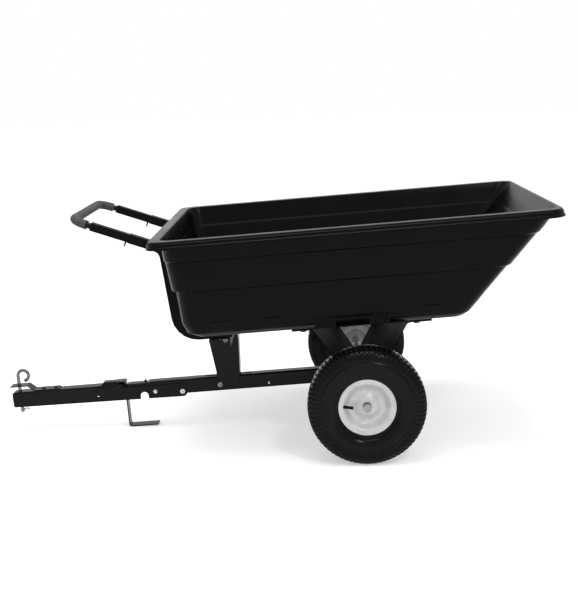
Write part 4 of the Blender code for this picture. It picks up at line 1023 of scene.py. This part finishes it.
@dataclass
class Handle:
    """The sliding push handle: a bent tube with a foam grip on its crossbar."""

    mouth: tuple[float, float] = (-0.791, 0.5779)  # X and Z of the sleeves' mouth
    angle: float = math.radians(22.3)
    offset: float = 0.221
    tube_radius: float = 0.0095
    grip_radius: float = 0.0140
    reach: float = 0.060
    insert: float = 0.170
    bend: float = 0.047
    grip_start: float = 0.017
    grip_end_step: float = 0.0014  # how much thinner the grip's very ends are
    station_gap: float = 0.02
    bend_steps: int = 14
    sides: int = 28

    def arm_point(self, out: float, y: float) -> Vector:
        """A point on the arm's axis.

        Args:
            out: Distance out of the sleeve's mouth.
            y: Where it is across the trailer.

        Returns:
            The point.
        """
        x = self.mouth[0] - out * math.cos(self.angle)
        return Vector((x, y, self.mouth[1] + out * math.sin(self.angle)))

    def path(self, start: float) -> list[Vector]:
        """The U's centre line.

        Args:
            start: Where the arms start, as a distance out of the sleeves.

        Returns:
            Its points, from the left arm to the right one.
        """
        points = [self.arm_point(start, -self.offset)]
        for sign in (-1, 1):
            middle = (self.reach - self.bend, sign * (self.offset - self.bend))
            for k in range(self.bend_steps + 1):
                a = math.pi / 2 * k / self.bend_steps
                a = a if sign < 0 else math.pi / 2 - a
                out = middle[0] + self.bend * math.sin(a)
                points.append(self.arm_point(out, middle[1] + sign * self.bend * math.cos(a)))
        points.append(self.arm_point(start, self.offset))
        return points

    def sweep(self, name: str, start: float, radii: Callable[[float], float],
              divide: bool = False) -> bpy.types.Object:
        """A round bar along the U.

        Args:
            name: The piece's name.
            start: Where the arms start.
            radii: The radius at a share of the length.
            divide: Whether the straight runs are divided too.

        Returns:
            The piece.
        """
        points = self.path(start)
        fine = []
        for before, after in zip(points, points[1:]):
            steps = max(1, int((after - before).length / self.station_gap)) if divide else 1
            fine += [before.lerp(after, k / steps) for k in range(steps)]
        fine.append(points[-1])
        lift = Vector((math.sin(self.angle), 0, math.cos(self.angle)))
        total = len(fine) - 1
        rings = []
        for k, point in enumerate(fine):
            along = (fine[min(k + 1, total)] - fine[max(k - 1, 0)]).normalized()
            sideways = along.cross(lift)
            radius = radii(k / total)
            rings.append([point + (lift * math.cos(a) + sideways * math.sin(a)) * radius
                          for a in (2 * math.pi * j / self.sides for j in range(self.sides))])
        return place_mesh(name, skin(rings, first_cap=True, last_cap=True), sharp_degrees=50)

    def grip_taper(self, share: float) -> float:
        """The grip's radius, a little less at its very ends.

        Args:
            share: How far along it, from 0 to 1.

        Returns:
            The radius.
        """
        return self.grip_radius - (self.grip_end_step if share in (0.0, 1.0) else 0.0)

    def assemble(self, finishes: Finishes) -> None:
        """Builds and dresses the handle.

        Args:
            finishes: The trailer's finishes.
        """
        tube = self.sweep("handle_bar", -self.insert, lambda share: self.tube_radius)
        dress(tube, "handle", finishes.steel)
        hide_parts("handle_tube")
        grip = self.sweep("foam_grip", self.grip_start, self.grip_taper, divide=True)
        dress(grip, "handle", finishes.grip)
        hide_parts("handle_grip")


@dataclass
class Steelwork:
    """The folded and bent steel of the chassis, tongue and pedal, with its bolts and wire."""

    edge: float = 0.0014
    edge_steps: int = 2
    edge_degrees: float = 35.0
    sheet_nodes: tuple[str, ...] = (
        "rear_drawbar", "support_post", "tongue", "hitch_strap", "hitch_rivet_1", "hitch_rivet_2",
        "pedal", "wing_screw_left", "wing_screw_right",
    )
    # These take the darker coat, whose darker colour is painted shade under the tub.
    chassis_nodes: tuple[str, ...] = (
        "frame_tube_left", "frame_tube_right", "handle_receiver_left", "handle_receiver_right",
        "front_crossmember", "axle_cradle", "tub_rail_left", "tub_rail_right",
    )
    zinc_nodes: tuple[str, ...] = (
        "axle", "wheel_hub_left", "wheel_hub_right", "tongue_pivot_bolt", "tongue_stop_bolt",
    )
    dark_zinc_nodes: tuple[str, ...] = (
        "post_bolt_upper", "tube_bolt_left", "tube_bolt_right", "cradle_bolt_1",
        "cradle_bolt_2", "cradle_bolt_3", "cradle_bolt_4", "pedal_pin",
    )
    # These take the greyer, smoother zinc.
    worn_zinc_nodes: tuple[str, ...] = ("hitch_pin", "post_bolt_lower")
    wire_nodes: tuple[str, ...] = ("pin_clip", "pedal_spring", "axle_cap_left", "axle_cap_right")

    def finish_node(self, node: bpy.types.Object, material: bpy.types.Material, edge: float) -> None:
        """Gives a solid its finish and slightly rounded edges.

        Args:
            node: The solid.
            material: Its finish.
            edge: The rounding's width, or 0 for none.
        """
        node.data.materials.clear()
        node.data.materials.append(material)
        if edge:
            bevel = node.modifiers.new("rounded edges", "BEVEL")
            bevel.width = edge
            bevel.segments = self.edge_steps
            bevel.limit_method = "ANGLE"
            bevel.angle_limit = math.radians(self.edge_degrees)

    def assemble(self, frame: dict, finishes: Finishes) -> None:
        """Dresses the steel nodes.

        Args:
            frame: The loaded frame.
            finishes: The trailer's finishes.
        """
        for names, material, edge in (
            (self.sheet_nodes, finishes.steel, self.edge),
            (self.chassis_nodes, finishes.chassis, self.edge),
            (self.zinc_nodes, finishes.zinc, self.edge / 2),
            (self.dark_zinc_nodes, finishes.dark_zinc, self.edge / 2),
            (self.worn_zinc_nodes, finishes.worn_zinc, self.edge / 2),
            (self.wire_nodes, finishes.wire, 0.0),
        ):
            for name in names:
                self.finish_node(frame["nodes"][name], material, edge)
                LOG.info("%s: %s", name, material.name)


@dataclass
class Studio:
    """A pale floor, soft lamps and the camera at the photograph's angle."""

    # The camera's place, its line of sight and its right, in the trailer's own frame.
    camera_at: tuple[float, float, float] = (-0.08834211, -3.38114776, 0.95906469)
    camera_along: tuple[float, float, float] = (-0.03788657, 0.9774457, -0.20776073)
    camera_right: tuple[float, float, float] = (0.99605262, 0.02023733, -0.08642697)
    lens_mm: float = 62.17
    sensor_mm: float = 36.0
    sky: float = 0.85
    floor_reach: float = 30.0
    floor_glow: float = 0.42
    floor_colour: str = "e8e8e8"
    floor_roughness: float = 0.9
    lamp_aim: tuple[float, float, float] = (0.0, 0.0, 0.3)
    # Each lamp's name, place, width in metres and power in watts.
    lamps: tuple[tuple[str, tuple[float, float, float], float, float], ...] = (
        ("overhead_softbox", (0.0, -0.3, 3.8), 2.0, 80.0),
        ("front_softbox", (1.3, -2.3, 2.6), 0.35, 18.0),
    )

    def seen_rays(self, tree: bpy.types.NodeTree) -> bpy.types.NodeSocket:
        """Tells the rays that show the studio itself: the camera's, and those mirrored or let through.

        Args:
            tree: The node tree.

        Returns:
            A socket that is 1 for such rays and 0 for the light that falls on things.
        """
        rays = add_node(tree, "ShaderNodeLightPath")
        first = add_node(tree, "ShaderNodeMath", {0: rays.outputs["Is Camera Ray"],
                         1: rays.outputs["Is Glossy Ray"]}, operation="MAXIMUM")
        seen = add_node(tree, "ShaderNodeMath", {0: first.outputs[0],
                        1: rays.outputs["Is Transmission Ray"]}, operation="MAXIMUM")
        return seen.outputs[0]

    def build_floor(self) -> None:
        """A wide pale floor that the camera sees as the white sheet, with the object's shadow."""
        shape = bmesh.new()
        bmesh.ops.create_grid(shape, x_segments=1, y_segments=1, size=self.floor_reach)
        mesh = bpy.data.meshes.new("studio_floor")
        shape.to_mesh(mesh)
        shape.free()
        floor = bpy.data.objects.new("studio_floor", mesh)
        bpy.context.scene.collection.objects.link(floor)
        material, shader, _ = blank_material("pale floor paper")
        shader.inputs["Base Color"].default_value = linear(self.floor_colour)
        shader.inputs["Roughness"].default_value = self.floor_roughness
        shader.inputs["Specular IOR Level"].default_value = 0.0
        shader.inputs["Emission Color"].default_value = linear("ffffff")
        seen = self.seen_rays(material.node_tree)
        glow = add_node(material.node_tree, "ShaderNodeMath", {0: seen, 1: self.floor_glow},
                        operation="MULTIPLY")
        material.node_tree.links.new(glow.outputs[0], shader.inputs["Emission Strength"])
        mesh.materials.append(material)

    def build_world(self) -> None:
        """White where the camera or a reflection looks, softer where it lights."""
        world = bpy.data.worlds.new("studio")
        bpy.context.scene.world = world
        world.use_nodes = True
        tree = world.node_tree
        tree.nodes.clear()
        seen = self.seen_rays(tree)
        soft = add_node(tree, "ShaderNodeBackground", {"Color": (1, 1, 1, 1), "Strength": self.sky})
        white = add_node(tree, "ShaderNodeBackground", {"Color": (1, 1, 1, 1), "Strength": 1.0})
        mixed = add_node(tree, "ShaderNodeMixShader", {0: seen, 1: soft.outputs[0], 2: white.outputs[0]})
        add_node(tree, "ShaderNodeOutputWorld", {"Surface": mixed.outputs[0]})

    def build_lamps(self) -> None:
        """A large soft lamp above and a smaller one high in front, for the highlights."""
        for name, at, size, power in self.lamps:
            data = bpy.data.lights.new(name, "AREA")
            data.shape = "SQUARE"
            data.size = size
            data.energy = power
            lamp = bpy.data.objects.new(name, data)
            lamp.location = at
            aim = Vector(self.lamp_aim) - Vector(at)
            lamp.rotation_euler = aim.to_track_quat("-Z", "Y").to_euler()
            bpy.context.scene.collection.objects.link(lamp)

    def build_camera(self) -> None:
        """The camera, from the photograph's fitted place and turn in the trailer's own frame."""
        data = bpy.data.cameras.new("camera")
        data.lens = self.lens_mm
        data.sensor_width = self.sensor_mm
        camera = bpy.data.objects.new("camera", data)
        along = Vector(self.camera_along).normalized()
        right = Vector(self.camera_right)
        right = (right - along * right.dot(along)).normalized()
        up = right.cross(along)
        turn = Matrix((right, up, -along)).transposed().to_4x4()
        camera.matrix_world = LEAN @ Matrix.Translation(Vector(self.camera_at)) @ turn
        bpy.context.scene.collection.objects.link(camera)
        bpy.context.scene.camera = camera

    def assemble(self) -> None:
        """Builds the studio."""
        self.build_floor()
        self.build_world()
        self.build_lamps()
        self.build_camera()
        bpy.context.scene.view_settings.view_transform = "Standard"


def main() -> None:
    """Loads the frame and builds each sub-assembly in order."""
    logging.basicConfig(level=logging.INFO, format="%(message)s")
    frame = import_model()
    finishes = mix_finishes()
    Studio().assemble()
    Tub().assemble(finishes)
    for side in Side:
        Wheel(side).assemble(finishes)
    Handle().assemble(finishes)
    Steelwork().assemble(frame, finishes)


if __name__ == "__main__":
    main()
